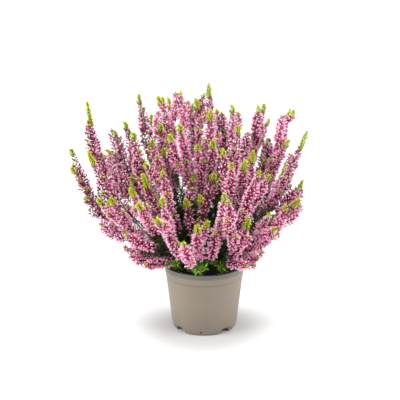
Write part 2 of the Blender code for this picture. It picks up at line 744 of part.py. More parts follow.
def make_branch(number, group, crowd, sprays):
    """A woody branch and the leafy stems that fork from it, one to the foot of each of its sprays."""
    path = branch_path(number)
    fine = resample(path, 8)
    name = f"branch_{number + 1:02d}"
    bm = bmesh.new()
    current = bmesh.ops.create_circle(bm, segments=6, radius=1.0, cap_ends=True)["verts"]
    ahead, across, over = frames(fine)
    for k, centre in enumerate(fine):
        radius = BRANCH_FOOT_RADIUS + (BRANCH_TOP_RADIUS - BRANCH_FOOT_RADIUS) * k / (len(fine) - 1)
        if k:
            current = extruded(bm, current)
        for j, vert in enumerate(current):
            angle = 2 * math.pi * j / 6
            vert.co = centre + radius * (math.cos(angle) * across[k] + math.sin(angle) * over[k])
    bm.faces.new(current)
    bmesh.ops.recalc_face_normals(bm, faces=bm.faces)
    finishes = ["woody_stem", "heather_leaf"]
    body = make_object(name, bm, finishes)
    skip = (crowd.branch == number) & crowd.stem
    helpers = []
    for k, main in enumerate(group):
        spray = sprays[main.node]
        end = length_of(main.points) - spray.flowers
        if end < SHORTEST_STEM:
            continue

        def room(centre, way, wanted, node=main.node):
            return crowd.room(centre, way, wanted, STEM_ROOM, skip | (crowd.owner == node))

        bm = leafy_stem(part_of(resample(main.points, 80), 0, end), room, turn=1.1 * k)
        helpers.append(make_object(f"{name}_stem_{k}", bm, finishes))
    apply_boolean(body, helpers, "UNION")
    return body


def leafy_stem(path, room, turn):
    """A stem that ends flat under its spray, bare and woody at the foot and leafy above."""
    total = length_of(path)
    bare = max(SHORTEST_STEM, BARE_SHARE * total)
    return leafy_tube(path, STEM_RADIUS, LEAF_REACH, LEAF_PITCH, 4, room, lift=LEAF_LIFT, turn=turn,
                      bare=bare, green=total - bare, flat_end=True)


def make_fresh_shoot(number, curve, crowd):
    """A short bright shoot that grows from the peat near the rim."""
    skip = crowd.owner == curve.node

    def room(centre, way, wanted):
        return crowd.room(centre, way, wanted, STEM_ROOM, skip)

    bm = leafy_tube(curve.points, FRESH_STEM, FRESH_REACH, FRESH_PITCH, 6, room, lift=LEAF_LIFT,
                    turn=number, bare=FRESH_ROOT + 2.5, bare_pitch=4.0)
    return make_object(f"fresh_shoot_{number:02d}", bm, ["fresh_leaf"])


def main():
    clear_scene()
    make_pot()
    sprays = FRONT_SPRAYS + back_sprays()
    curves = bend_clear(lay_out(sprays), sprays)
    crowd = Crowd(curves, sprays)
    holes = []
    for number in range(BRANCH_COUNT):
        root = branch_path(number)[0]
        holes.append((root[0], root[1], BRANCH_FOOT_RADIUS, SOIL_TOP - BRANCH_ROOT + HOLE_CLEARANCE))
    for root, tip in FRESH_SHOOTS:
        holes.append((*root, FRESH_STEM + 0.8, FRESH_ROOT + HOLE_CLEARANCE))
    make_soil(holes)
    mains = [c for c in curves if c.kind == "main"]
    for number in range(BRANCH_COUNT):
        make_branch(number, [m for m in mains if m.branch == number], crowd, sprays)
    for main_curve in mains:
        sides = [c for c in curves if c.kind == "side" and c.node == main_curve.node]
        make_spray(main_curve, sides, crowd, sprays)
    fresh = [c for c in curves if c.kind == "fresh"]
    for number, curve in enumerate(fresh, 1):
        make_fresh_shoot(number, curve, crowd)


main()
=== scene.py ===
"""Bud heather in a nursery pot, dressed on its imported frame: florets, leaves, stems, peat, pot and studio.

The plant grows by the same rule as its solids, so each fine piece lies on the node that it stands for.
Lengths are in millimetres until a mesh is linked.
"""

import math
from collections import namedtuple

import bmesh
import bpy
import numpy as np
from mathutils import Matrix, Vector


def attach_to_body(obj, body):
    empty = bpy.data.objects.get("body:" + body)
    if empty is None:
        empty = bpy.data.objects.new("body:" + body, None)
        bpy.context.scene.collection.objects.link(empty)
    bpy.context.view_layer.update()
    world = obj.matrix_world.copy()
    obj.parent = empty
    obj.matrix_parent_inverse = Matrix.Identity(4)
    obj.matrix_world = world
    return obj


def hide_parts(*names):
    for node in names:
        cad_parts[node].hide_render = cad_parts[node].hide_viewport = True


bl_info = {
    "name": "Potted heather",
    "version": (1, 0, 0),
    "blender": (4, 5, 0),
    "location": "View3D > Sidebar > Heather",
    "description": "Makes a flowering bud heather in a nursery pot on its packed frame",
    "category": "Add Mesh",
}

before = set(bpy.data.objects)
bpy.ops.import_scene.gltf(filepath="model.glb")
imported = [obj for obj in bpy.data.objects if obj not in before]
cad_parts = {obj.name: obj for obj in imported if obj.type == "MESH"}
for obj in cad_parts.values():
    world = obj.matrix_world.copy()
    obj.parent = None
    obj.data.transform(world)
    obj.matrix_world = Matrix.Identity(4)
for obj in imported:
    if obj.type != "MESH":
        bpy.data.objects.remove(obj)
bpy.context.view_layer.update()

MM = 0.001

# Pot, as in the frame
POT_HEIGHT = 90.0
RIM_RADIUS = 55.0
LIP_HEIGHT = 6.0
LIP_OVERHANG = 1.3
WALL = 1.6
WALL_FOOT_RADIUS = 44.3
WALL_SLOPE = 0.115
FLOOR_THICKNESS = 1.8
FLOOR_RADIUS = 34.0
FOOT_RADIUS = 41.6
FOOT_TOP = 8.4
NOTCH_HEIGHT = 6.8
NOTCH_COUNT = 4
NOTCH_WIDTH = math.radians(26)
NOTCH_ANGLE = math.radians(-50)
GROOVE_HEIGHT = 75.0
DRAIN_COUNT = 6
DRAIN_ANGLE = math.radians(-66)
DRAIN_RADIUS = 1.3
DRAIN_HEIGHT = 4.9
DRAIN_DEPTH = 9.0

# Peat
SOIL_TOP = 82.0
SOIL_BUMP = 1.3

# Woody branches
BRANCH_COUNT = 8
BRANCH_RING_RADIUS = 19.0
BRANCH_ROOT = 66.0
BRANCH_FOOT_RADIUS = 3.6
BRANCH_TOP_RADIUS = 2.2
BRANCH_LEAN = 12.0
BRANCH_TOP = 112.0

# Sprays
FLORET_REACH = 7.8
TIP_REACH = 5.0
STEM_ROOM = 3.6
STEP = 9.0
LOOK_AROUND = 8
CLEARANCE = 1.2
BACK_SPRAYS = 11
BACK_NEAR = 46.0
BACK_FAR = 132.0
BACK_SPAN = 98
BACK_CENTRE = 22
BACK_WIDE = 0.92
BACK_DEEP = 0.86
DOME_FOOT = 165
DOME_RISE = 128
DOME_RADIUS = 148

Spray = namedtuple("Spray", "tip bow flowers green sides")
Side = namedtuple("Side", "tip length")

# Sprays that face the viewer: tip, outward bow, flowering length, green tip length, side spikes
FRONT_SPRAYS = [
    Spray((-175, -10, 250), 0.90, 130, 10, [Side((-172, -28, 229), 45)]),
    Spray((-155, 10, 309), 0.95, 140, 33, [Side((-150, 30, 245), 60)]),
    Spray((-148, -45, 253), 0.70, 115, 19, []),
    Spray((-124, 50, 264), 0.55, 105, 9, [Side((-137, 62, 235), 50)]),
    Spray((-103, -15, 287), 0.50, 105, 10, [Side((-91, -32, 276), 75)]),
    Spray((-92, 75, 311), 0.50, 120, 14, [Side((-74, 62, 284), 70)]),
    Spray((-120, -60, 197), 0.85, 85, 12, [Side((-138, -45, 192), 55)]),
    Spray((-113, -50, 167), 1.00, 95, 17, []),
    Spray((-92, -75, 213), 0.60, 80, 14, [Side((-82, -92, 198), 60)]),
    Spray((-78, -58, 227), 0.55, 85, 20, []),
    Spray((-52, -100, 207), 0.90, 112, 12, [Side((-58, -112, 184), 50)]),
    Spray((-53, -60, 232), 0.45, 95, 8, []),
    Spray((-26, -108, 152), 0.95, 56, 7, []),
    Spray((-9, -105, 174), 0.90, 76, 13, [Side((4, -96, 176), 40)]),
    Spray((-24, -50, 192), 0.30, 55, 12, [Side((-17, -20, 219), 50)]),
    Spray((-4, -52, 197), 0.30, 55, 10, [Side((13, -50, 226), 62)]),
    Spray((25, -100, 212), 0.85, 98, 10, []),
    Spray((14, -92, 160), 0.85, 50, 3, []),
    Spray((55, -95, 181), 0.92, 85, 20, []),
    Spray((83, -65, 178), 0.90, 88, 8, [Side((90, -80, 163), 48)]),
    Spray((131, -10, 208), 0.60, 100, 22, [Side((123, -42, 190), 60)]),
    Spray((133, -20, 276), 0.45, 115, 26, [Side((110, -4, 226), 60)]),
    Spray((116, 38, 295), 0.35, 120, 15, [Side((112, 5, 260), 85)]),
    Spray((83, 60, 299), 0.30, 110, 11, [Side((91, 72, 277), 80)]),
    Spray((62, -50, 255), 0.30, 90, 16, [Side((51, -60, 245), 65)]),
    Spray((69, -72, 234), 0.40, 95, 8, [Side((82, -58, 226), 70)]),
    Spray((34, -65, 243), 0.25, 90, 9, [Side((24, -44, 256), 70)]),
    Spray((45, -12, 281), 0.15, 95, 11, [Side((38, 34, 301), 105)]),
    Spray((28, 55, 284), 0.10, 90, 6, [Side((17, 70, 292), 85)]),
    Spray((8, -22, 303), 0.10, 95, 14, [Side((11, -40, 267), 60)]),
    Spray((6, 22, 332), 0.10, 120, 18, [Side((-11, 24, 312), 95)]),
    Spray((-32, 25, 322), 0.15, 120, 8, [Side((-16, 38, 303), 85)]),
    Spray((-58, 55, 310), 0.25, 105, 19, [Side((-50, 78, 306), 95)]),
    Spray((-32, -30, 286), 0.20, 90, 10, [Side((-44, -44, 275), 75)]),
    Spray((-68, -28, 265), 0.35, 90, 8, [Side((-76, -45, 239), 60)]),
    Spray((-9, -25, 258), 0.10, 75, 9, []),
]

# How full each of them is, how far its florets are in bloom, and how deep their pink is
FRONT_LOOKS = [
    (0.40, 0.30, 0.55), (0.90, 0.60, 0.55), (0.75, 0.50, 0.70), (0.80, 0.45, 0.75), (0.85, 0.55, 0.75),
    (0.50, 0.35, 0.75), (1.10, 0.70, 0.33), (1.20, 0.65, 0.28), (0.95, 0.85, 0.53), (0.90, 0.50, 0.75),
    (1.00, 0.95, 0.43), (0.85, 0.65, 0.60), (1.00, 0.90, 0.28), (1.00, 0.90, 0.33), (0.60, 0.45, 0.55),
    (0.60, 0.40, 0.50), (1.00, 1.00, 0.58), (0.95, 0.75, 0.50), (1.00, 0.85, 0.28), (1.15, 0.75, 0.15),
    (1.25, 0.70, 0.25), (1.15, 0.65, 0.65), (1.30, 0.80, 0.70), (1.30, 0.80, 0.75), (0.85, 0.65, 0.70),
    (1.00, 0.90, 0.60), (1.00, 0.90, 0.75), (0.85, 0.65, 0.75), (0.85, 0.65, 0.95), (0.85, 0.65, 0.75),
    (0.90, 0.65, 0.65), (1.00, 0.75, 0.40), (0.95, 0.70, 0.30), (0.95, 0.75, 0.55), (0.90, 0.65, 0.55),
    (0.95, 0.75, 0.50),
]
# Sprays on the far side are less in bloom and of a deeper pink than the front ones: painted shade behind
# them.
SHADED_BACK_LOOK = (0.85, 0.52, 0.68)

# Fresh basal shoots at the rim: root on the peat, tip
FRESH_SHOOTS = [
    ((-33.0, -25.0), (-50.0, -42.0, 101.0)),
    ((-7.0, -44.0), (-10.0, -60.0, 99.0)),
    ((24.0, -36.0), (20.0, -47.0, 104.0)),
]
FRESH_ROOT = 9.0
FRESH_ARCH = 36.0

# Looks of the smaller twigs: fullness, bloom, depth of pink
PLAIN_TWIG = (1.10, 0.80, 0.45)
PALE_TWIG = (1.00, 0.75, 0.15)
DEEP_TWIG = (1.10, 0.80, 0.75)
DULL_TWIG = (0.55, 0.30, 0.60)

# Flowering twigs between the sprays and over the rim: root, tip, outward bow, green tip length, look
TWIGS = [
    ((38, -80, 134), (29, -105, 204), 0.3, 6, PLAIN_TWIG),
    ((-38, -30, 101), (-90, -46, 112), 0.6, 3, PLAIN_TWIG),
    ((-50, -38, 103), (-76, -60, 107), 0.5, 2, PLAIN_TWIG),
    ((-50, -24, 102), (-106, -34, 122), 0.6, 3, PALE_TWIG),
    ((31, -40, 104), (69, -62, 119), 0.6, 4, PALE_TWIG),
    ((28, -50, 108), (53, -76, 112), 0.6, 2, PLAIN_TWIG),
    ((66, -45, 126), (103, -64, 187), 0.6, 8, PALE_TWIG),
    ((42, -46, 106), (54, -62, 107), 0.5, 2, PLAIN_TWIG),
    ((-60, -60, 130), (-100, -66, 150), 0.4, 4, PLAIN_TWIG),
    ((-101, 20, 169), (-132, 40, 228), 0.3, 3, PLAIN_TWIG),
    ((-101, -40, 136), (-133, -50, 156), 0.5, 3, PALE_TWIG),
    ((-132, -10, 153), (-154, -20, 198), 0.5, 2, DULL_TWIG),
    ((-69, -42, 102), (-97, -48, 117), 0.5, 3, PLAIN_TWIG),
    ((-146, -5, 235), (-154, 10, 284), 0.1, 2, DULL_TWIG),
    ((-3, 40, 274), (-6, 45, 309), 0.2, 5, PLAIN_TWIG),
    ((-7, 30, 283), (-1, 30, 318), 0.2, 5, DULL_TWIG),
    ((48, 10, 215), (58, 30, 264), 0.2, 2, DEEP_TWIG),
    ((87, 30, 211), (88, 45, 254), 0.1, 3, DEEP_TWIG),
    ((100, -30, 151), (126, -30, 181), 0.5, 4, PALE_TWIG),
    ((90, -15, 169), (122, -20, 200), 0.4, 3, DEEP_TWIG),
    ((-79, 30, 264), (-83, 30, 299), 0.1, 2, DULL_TWIG),
    ((-63, 20, 255), (-62, 20, 295), 0.1, 3, PALE_TWIG),
    ((-23, 50, 277), (-24, 50, 305), 0.1, 3, PALE_TWIG),
    ((-39, 40, 279), (-40, 40, 302), 0.1, 2, PALE_TWIG),
    ((24, 40, 265), (23, 40, 292), 0.1, 6, DEEP_TWIG),
    ((44, 50, 260), (46, 50, 291), 0.1, 6, PLAIN_TWIG),
    ((-124, 60, 230), (-129, 60, 263), 0.1, 2, DULL_TWIG),
    ((-111, 50, 223), (-117, 50, 255), 0.1, 2, DULL_TWIG),
    ((68, 35, 255), (74, 40, 299), 0.1, 10, DEEP_TWIG),
    ((97, 10, 254), (105, 20, 290), 0.1, 3, PALE_TWIG),
    ((113, 30, 278), (121, 30, 295), 0.1, 10, PALE_TWIG),
    ((-127, -5, 168), (-141, -5, 203), 0.3, 2, DULL_TWIG),
    ((-153, -20, 211), (-172, -24, 232), 0.3, 3, DULL_TWIG),
    ((-108, -40, 145), (-134, -50, 161), 0.3, 2, PALE_TWIG),
    ((-101, 20, 184), (-117, 30, 221), 0.2, 3, DEEP_TWIG),
    ((-62, 30, 161), (-71, 40, 197), 0.1, 2, DEEP_TWIG),
    ((66, 20, 142), (85, 25, 187), 0.3, 2, DEEP_TWIG),
    ((47, -50, 108), (75, -58, 125), 0.5, 2, PALE_TWIG),
    ((112, -12, 166), (129, -14, 202), 0.4, 8, PLAIN_TWIG),
    ((-51, 20, 295), (-62, 20, 315), 0.2, 12, PALE_TWIG),
    ((-34, 30, 299), (-38, 30, 318), 0.1, 2, PALE_TWIG),
]
BACK_TWIGS = 14
BACK_TWIG_ROOT = (40.0, 104.0)
BACK_TWIG_REACH = (70, 96)
BACK_TWIG_HEIGHT = (112, 158)

# Stems
SPIKE_STEM = 0.75
SPIKE_TIP = 0.3
STEM_RADIUS = 1.1
TWIG_RADII = (0.4, 0.18)
INNER_RADII = (1.0, 0.35)
GOLDEN = math.radians(137.508)
GOLDEN_SHARE = 0.618034

# Florets: lean from the spike in degrees, and how the young ones at its tip are smaller
FLORET_LEAN = 66
YOUNG_UPRIGHT = 24
YOUNG_FROM = 0.75
YOUNG_SHORTER = 3.6
YOUNG_NARROWER = 1.9
CLOSED_LENGTH = 0.8
CLOSED_WIDTH = 0.85
TONE_SPREAD = 0.6
TWIG_FLORETS = 0.8
TWIG_LENGTH = (10, 18)

# Leaves
LEAF_FLAT = 0.6
TIP_LEAF_WIDTH = 0.52
TIP_LEAF_LEAN = math.radians(60)
TWIG_LEAF_LEAN = math.radians(48)
TIP_LEAF_PITCH = 0.9
TWIG_LEAF_PITCH = 1.5
STEM_LEAF_PITCH = 0.9
INNER_LEAF_PITCH = 1.05
SMALL_LEAF_LENGTH = (2.4, 3.8)
YOUNG_GLOW = 0.85
LONG_TIP = 9

# Crumbs on the peat
CRUMBS = 620
CRUMB_SIZE = (0.7, 2.6)

# Materials of a dressed piece, by their place in its list
LEAVES, STEMS, SMALL_LEAVES = 0, 1, 2

# Tone, bloom and alpha of a point that has none of its own
PLAIN_GROWTH = (0.5, 0.5, 1.0)

# Seeds of the random draws
BACK_SEED = 3
PEAT_SEED = 7
BACK_TWIG_SEED = 41
SPRAY_SEED = 100
BRANCH_SEED = 300
FRESH_SEED = 500
INNER_SEED = 700
TWIG_SEED = 900

# Finishes
FOOT_FADE = (0.26, 0.56)
TIP_FADE = (0.56, 0.94)
BLOOM_FADE = (0.1, 0.6)
SPECKLE_SCALE = 900.0
NOISE_ROUGHNESS = 0.55
PLANT_SPECULAR = 0.22
PETAL_SCATTER = 0.12
PETAL_RADIUS = (1.0, 0.5, 0.6)
PETAL_DEPTH = 0.0015
POT_WEAR = 0.35
POT_ROUGHNESS = 0.42
POT_ROUGHNESS_RANGE = 0.2
# Fine dark lines under the lip and at the ring of the pot: painted shade
CREASE_FADE = (0.2, 1.3)
CREASE_SHADE = (0.72, 0.70, 0.68)

# Studio, in metres: the floor glows less under the pot, and its light fades in over two ranges of distance
GLOW_CENTRE = (0.0, -0.02, 0.0)
NEAR_GLOW = 0.42
NEAR_GLOW_RANGE = (0.045, 0.12)
FAR_GLOW = 0.58
FAR_GLOW_RANGE = (0.25, 1.6)
LIGHT_AIM = (0, 0, 0.1)
TOP_LIGHT = (0.0, -0.1, 1.7)
TOP_LIGHT_SIZE = (2.2, 2.2)
SIDE_LIGHT = (1.5, -0.5, 0.7)
SIDE_LIGHT_SIZE = (1.2, 1.6)
RIGHT_SHARE = 0.8

# Camera: the photograph's width and focal length in pixels, and the column of the pot's axis in it
CAMERA_PIXELS = 400
CAMERA_FOCAL = 843.0
CAMERA_COLUMN = 204.4
CAMERA_SENSOR = 36.0
CAMERA_PLACE = (0.0, -1.1, 0.469)
CAMERA_DOWN = 14.77


# Growth: the curves of the plant


def unit(vector):
    vector = np.asarray(vector, float)
    return vector / max(1e-9, float(np.linalg.norm(vector)))


def resample(points, count):
    """Points at equal distances along a smooth curve through the given ones."""
    points = np.asarray(points, float)
    padded = np.vstack([2 * points[0] - points[1], points, 2 * points[-1] - points[-2]])
    fine = []
    for a, b, c, d in zip(padded, padded[1:], padded[2:], padded[3:]):
        for t in np.arange(0, 1, 0.125):
            square = (2 * a - 5 * b + 4 * c - d) * t**2
            cube = (3 * b - a - 3 * c + d) * t**3
            fine.append(0.5 * (2 * b + (c - a) * t + square + cube))
    fine = np.array(fine + [points[-1]])
    along = np.concatenate([[0], np.cumsum(np.linalg.norm(np.diff(fine, axis=0), axis=1))])
    wanted = np.linspace(0, along[-1], count)
    return np.column_stack([np.interp(wanted, along, fine[:, i]) for i in range(3)])


def length_of(points):
    return float(np.linalg.norm(np.diff(points, axis=0), axis=1).sum())


def bowed(start, tip, bow, count=24):
    """A curve that runs out first and then up: straight at bow 0, strongly bowed at 1."""
    start = np.asarray(start, float)
    tip = np.asarray(tip, float)
    out = 0.5 + 0.44 * bow
    rise = 0.5 - 0.36 * bow
    middle = start + (tip - start) * np.array([out, out, rise])
    t = np.linspace(0, 1, count)[:, None]
    return (1 - t) ** 2 * start + 2 * t * (1 - t) * middle + t**2 * tip


def on_dome(reach, azimuth):
    """The place of a tip on the far side, seen from above."""
    return reach * BACK_WIDE * math.sin(azimuth), BACK_CENTRE + BACK_DEEP * reach * math.cos(azimuth)


def back_sprays():
    """Sprays on the far side, spread by the golden angle over a dome."""
    draw = np.random.default_rng(BACK_SEED)
    sprays = []
    for k in range(BACK_SPRAYS):
        spread = (k * GOLDEN_SHARE) % 1.0
        azimuth = math.radians(-BACK_SPAN + 2 * BACK_SPAN * spread)
        reach = BACK_NEAR + (BACK_FAR - BACK_NEAR) * math.sqrt((k + 0.5) / BACK_SPRAYS)
        rise = DOME_RISE * math.sqrt(max(0.0, 1 - (reach / DOME_RADIUS) ** 2))
        height = DOME_FOOT + rise - draw.uniform(0, 14)
        tip = (*on_dome(reach, azimuth), height)
        sides = []
        for turn in (-1, 1):
            shift = azimuth + turn * math.radians(draw.uniform(18, 25)) * 75 / reach
            near = reach * draw.uniform(0.80, 1.10)
            low = height - draw.uniform(14, 40)
            sides.append(Side((*on_dome(near, shift), low), 62))
        sprays.append(Spray(tip, 0.15 + 0.6 * reach / 134, 95, draw.uniform(8, 22), sides))
    return sprays


def branch_of(tip):
    """Which branch carries a spray: 0 in the middle, the others round it."""
    if math.hypot(tip[0], tip[1]) < 46:
        return 0
    turn = math.atan2(tip[0], -tip[1]) / (2 * math.pi)
    return 1 + int(round(turn * (BRANCH_COUNT - 1))) % (BRANCH_COUNT - 1)


def branch_path(index):
    """The middle line of a woody branch, straight in the peat and leaning out above it."""
    if index == 0:
        root, lean = np.zeros(2), np.zeros(2)
    else:
        angle = 2 * math.pi * (index - 1) / (BRANCH_COUNT - 1)
        way = np.array([math.sin(angle), -math.cos(angle)])
        root, lean = BRANCH_RING_RADIUS * way, BRANCH_LEAN * way
    heights = [BRANCH_ROOT, SOIL_TOP - 2, SOIL_TOP + 3, SOIL_TOP + 14, BRANCH_TOP]
    shares = [0, 0, 0.04, 0.4, 1]
    return np.array([[*(root + lean * s), z] for s, z in zip(shares, heights)])


Curve = namedtuple("Curve", "node branch kind points fork")


def lay_out(sprays):
    """The curves of all sprays before they are bent clear, each main followed by its side spikes."""
    members = {}
    for k, spray in enumerate(sprays):
        members.setdefault(branch_of(spray.tip), []).append(k)
    starts = {}
    for branch, group in members.items():
        path = resample(branch_path(branch), 41)
        group.sort(key=lambda k: sprays[k].tip[2] - 0.5 * math.hypot(*sprays[k].tip[:2]))
        for rank, k in enumerate(group):
            share = 0.5 + 0.47 * rank / max(1, len(group) - 1)
            starts[k] = path[int(round(40 * share))]
    curves = []
    for k, spray in enumerate(sprays):
        main = bowed(starts[k], spray.tip, spray.bow, 60)
        branch = branch_of(spray.tip)
        curves.append(Curve(k, branch, "main", resample(main, max(6, int(length_of(main) / STEP))), None))
        for side in spray.sides:
            tip = np.asarray(side.tip, float)
            away = np.linalg.norm(main - tip, axis=1)
            nearest = min(int(np.argmin(away)), len(main) - 2)
            fork = next((i for i in range(nearest, 2, -1) if away[i] > side.length), 3)
            lead = unit(main[fork + 1] - main[fork])
            rise = unit(unit(main[-1] - main[-8]) + unit(tip - main[fork]))
            reach = float(away[fork])
            t = np.linspace(0, 1, 24)[:, None]
            bend_low = main[fork] + (0.35 * lead + 0.65 * unit(tip - main[fork])) * reach * 0.33
            bend_high = tip - rise * reach * 0.38
            path = (1 - t) ** 3 * main[fork] + 3 * t * (1 - t) ** 2 * bend_low
            path = path + 3 * t**2 * (1 - t) * bend_high + t**3 * tip
            path = resample(path, max(5, int(length_of(path) / STEP)))
            curves.append(Curve(k, branch, "side", path, fork / (len(main) - 1)))
    for k, (root, tip) in enumerate(FRESH_SHOOTS):
        curves.append(Curve(len(sprays) + k, BRANCH_COUNT + k, "fresh", fresh_path(root, tip), None))
    return curves


def fresh_path(root, tip):
    """A short shoot: straight in the peat, then leaning over to its tip."""
    root_end = np.array([*root, SOIL_TOP - FRESH_ROOT])
    neck = np.array([*root, SOIL_TOP + 3.0])
    share = 0.4
    bend = neck + (np.array(tip) - neck) * share + [0, 0, FRESH_ARCH * share * (1 - share)]
    return np.vstack([root_end, 0.5 * (root_end + neck), neck, bend, tip])


def distance_left(curve):
    """The distance from each point of a curve to its tip."""
    steps = np.linalg.norm(np.diff(curve.points, axis=0), axis=1)
    return steps.sum() - np.concatenate([[0], np.cumsum(steps)])


def is_stem(curve, sprays):
    """Which points of a curve belong to a leafy stem, and not to flowers."""
    if curve.kind == "fresh":
        return np.ones(len(curve.points), bool)
    return (distance_left(curve) >= sprays[curve.node].flowers) & (curve.kind == "main")


def reach_along(curve, sprays):
    """How far florets or leaves stand out at each point of a curve."""
    left = distance_left(curve)
    reach = np.where(is_stem(curve, sprays), STEM_ROOM, FLORET_REACH)
    if curve.kind == "fresh":
        return reach
    reach = np.where(left < sprays[curve.node].green, TIP_REACH, reach)
    return np.where(left < 3, 2.5, reach)


def bend_clear(curves, sprays, rounds=160):
    """Pushes curves of different sprays apart and up from the pot, and keeps each one smooth."""
    counts = [len(c.points) for c in curves]
    starts = np.concatenate([[0], np.cumsum(counts)])
    place = np.vstack([c.points for c in curves])
    reach = np.concatenate([reach_along(c, sprays) for c in curves])
    owner = np.concatenate([np.full(n, c.node) for n, c in zip(counts, curves)])
    line = np.concatenate([np.full(n, i) for i, n in enumerate(counts)])
    order = np.concatenate([np.arange(n) for n in counts])
    fixed = np.concatenate([np.full(n, c.kind == "fresh") for n, c in zip(counts, curves)])
    free = np.where(fixed, 0.0, np.minimum(1.0, np.maximum(0.0, (order - 1) / 3.0)))
    branch = np.concatenate([np.full(n, c.branch) for n, c in zip(counts, curves)])
    stem = np.concatenate([is_stem(c, sprays) for c in curves])
    want = reach[:, None] + reach[None, :] + CLEARANCE
    same_line = line[:, None] == line[None, :]
    sister = (owner[:, None] == owner[None, :]) & ((order[:, None] < 3) | (order[None, :] < 3))
    fused = (branch[:, None] == branch[None, :]) & stem[:, None] & stem[None, :]
    want[same_line | sister | fused] = 0.0
    home = place.copy()
    for turn in range(rounds):
        if turn % LOOK_AROUND == 0:
            apart = np.linalg.norm(place[:, None, :] - place[None, :, :], axis=2)
            one, other = np.nonzero((want > 0) & (apart < want + 6.0))
        gap = place[one] - place[other]
        distance = np.linalg.norm(gap, axis=1) + 1e-6
        short = np.maximum(0.0, want[one, other] - distance)
        force = gap * (short / distance)[:, None]
        push = np.column_stack([np.bincount(one, force[:, i], len(place)) for i in range(3)])
        size = np.linalg.norm(push, axis=1, keepdims=True)
        push = push * np.minimum(1.0, 2.0 / (size + 1e-9))
        place = place + 0.45 * push * free[:, None] + 0.01 * (home - place) * free[:, None]
        place = keep_off_pot(place, reach, free)
        for a, b in zip(starts, starts[1:]):
            run = place[a:b]
            bend = run[:-2] + run[2:] - 2 * run[1:-1]
            run[1:-1] += 0.12 * bend * free[a + 1 : b - 1, None]
            even_out(run, free[a:b])
        follow_mains(curves, starts, place)
    return [c._replace(points=place[a:b].copy()) for c, a, b in zip(curves, starts, starts[1:])]


def even_out(run, free):
    """Evens out the distances along one curve, in place."""
    even = resample_linear(run, len(run))
    run += 0.3 * (even - run) * free[:, None]


def resample_linear(points, count):
    along = np.concatenate([[0], np.cumsum(np.linalg.norm(np.diff(points, axis=0), axis=1))])
    wanted = np.linspace(0, along[-1], count)
    return np.column_stack([np.interp(wanted, along, points[:, i]) for i in range(3)])


def keep_off_pot(place, reach, free):
    """Lifts points that are too low over the peat or the rim."""
    out = np.hypot(place[:, 0], place[:, 1])
    floor = np.where(out < 42, SOIL_TOP + 2.5, POT_HEIGHT + 1.5) + reach
    floor = np.where(out < RIM_RADIUS + 9, floor, 70.0)
    lift = np.maximum(0.0, floor - place[:, 2]) * (free > 0.3)
    place[:, 2] += 0.5 * lift
    return place


def follow_mains(curves, starts, place):
    """Keeps the first two points of each side spike with its main spike."""
    main = None
    for i, curve in enumerate(curves):
        if curve.kind != "side":
            main = place[starts[i] : starts[i + 1]]
            continue
        at = curve.fork * (len(main) - 1)
        low = min(int(at), len(main) - 2)
        shift = main[low] + (main[low + 1] - main[low]) * (at - low) - place[starts[i]]
        place[starts[i]] += shift
        place[starts[i] + 1] += shift


def frames(points):
    """Two cross directions at each point, carried along the curve without a sudden turn."""
    ahead = np.gradient(points, axis=0)
    ahead /= np.linalg.norm(ahead, axis=1, keepdims=True)
    side = unit(np.cross(ahead[0], (0.3, 1.0, 0.1)))
    sides = []
    for way in ahead:
        side = unit(side - way * np.dot(side, way))
        sides.append(side)
    sides = np.array(sides)
    return ahead, sides, np.cross(ahead, sides)


def part_of(points, start, end):
    """The stretch of a curve between two distances from its root."""
    along = np.concatenate([[0], np.cumsum(np.linalg.norm(np.diff(points, axis=0), axis=1))])
    wanted = np.linspace(start, min(end, along[-1]), max(4, int((end - start) / 5)))
    return np.column_stack([np.interp(wanted, along, points[:, i]) for i in range(3)])


# Shapes that are repeated


class Shape:
    """A small closed mesh along +Z, one millimetre long, that is placed many times."""

    def __init__(self, name, bm):
        layer = bm.verts.layers.float_color.new("growth")
        for vert in bm.verts:
            vert[layer] = (vert.co.z, *PLAIN_GROWTH)
        self.mesh = bpy.data.meshes.new(name)
        bm.to_mesh(self.mesh)
        bm.free()
        self.places = np.array([v.co for v in self.mesh.vertices], np.float64)
        self.growth = np.ones((len(self.places), 4), np.float32)
        self.growth[:, 0] = self.places[:, 2]

    def put(self, bm, foot, axis, length, width, roll=0.0, bend=0.0, tone=0.5, bloom=0.5, material=0,
            flat=1.0):
        """Adds one copy to a bmesh, from its foot along an axis; bend curls its tip towards +Z."""
        axis = unit(axis)
        across = np.cross(axis, (0.31, 0.17, 0.94))
        across = unit(across if np.linalg.norm(across) > 0.05 else np.cross(axis, (1.0, 0.0, 0.0)))
        over = np.cross(axis, across)
        c, s = math.cos(roll), math.sin(roll)
        x = (c * across + s * over) * width
        y = (c * over - s * across) * width * flat
        at = self.places[:, 0:1] * x + self.places[:, 1:2] * y + self.places[:, 2:3] * axis * length
        at[:, 2] += bend * length * self.places[:, 2] ** 2
        self.mesh.vertices.foreach_set("co", (at + foot).astype(np.float32).ravel())
        self.growth[:, 1] = tone
        self.growth[:, 2] = bloom
        self.mesh.attributes["growth"].data.foreach_set("color", self.growth.ravel())
        if self.mesh.polygons[0].material_index != material:
            self.mesh.polygons.foreach_set("material_index", [material] * len(self.mesh.polygons))
        bm.from_mesh(self.mesh)


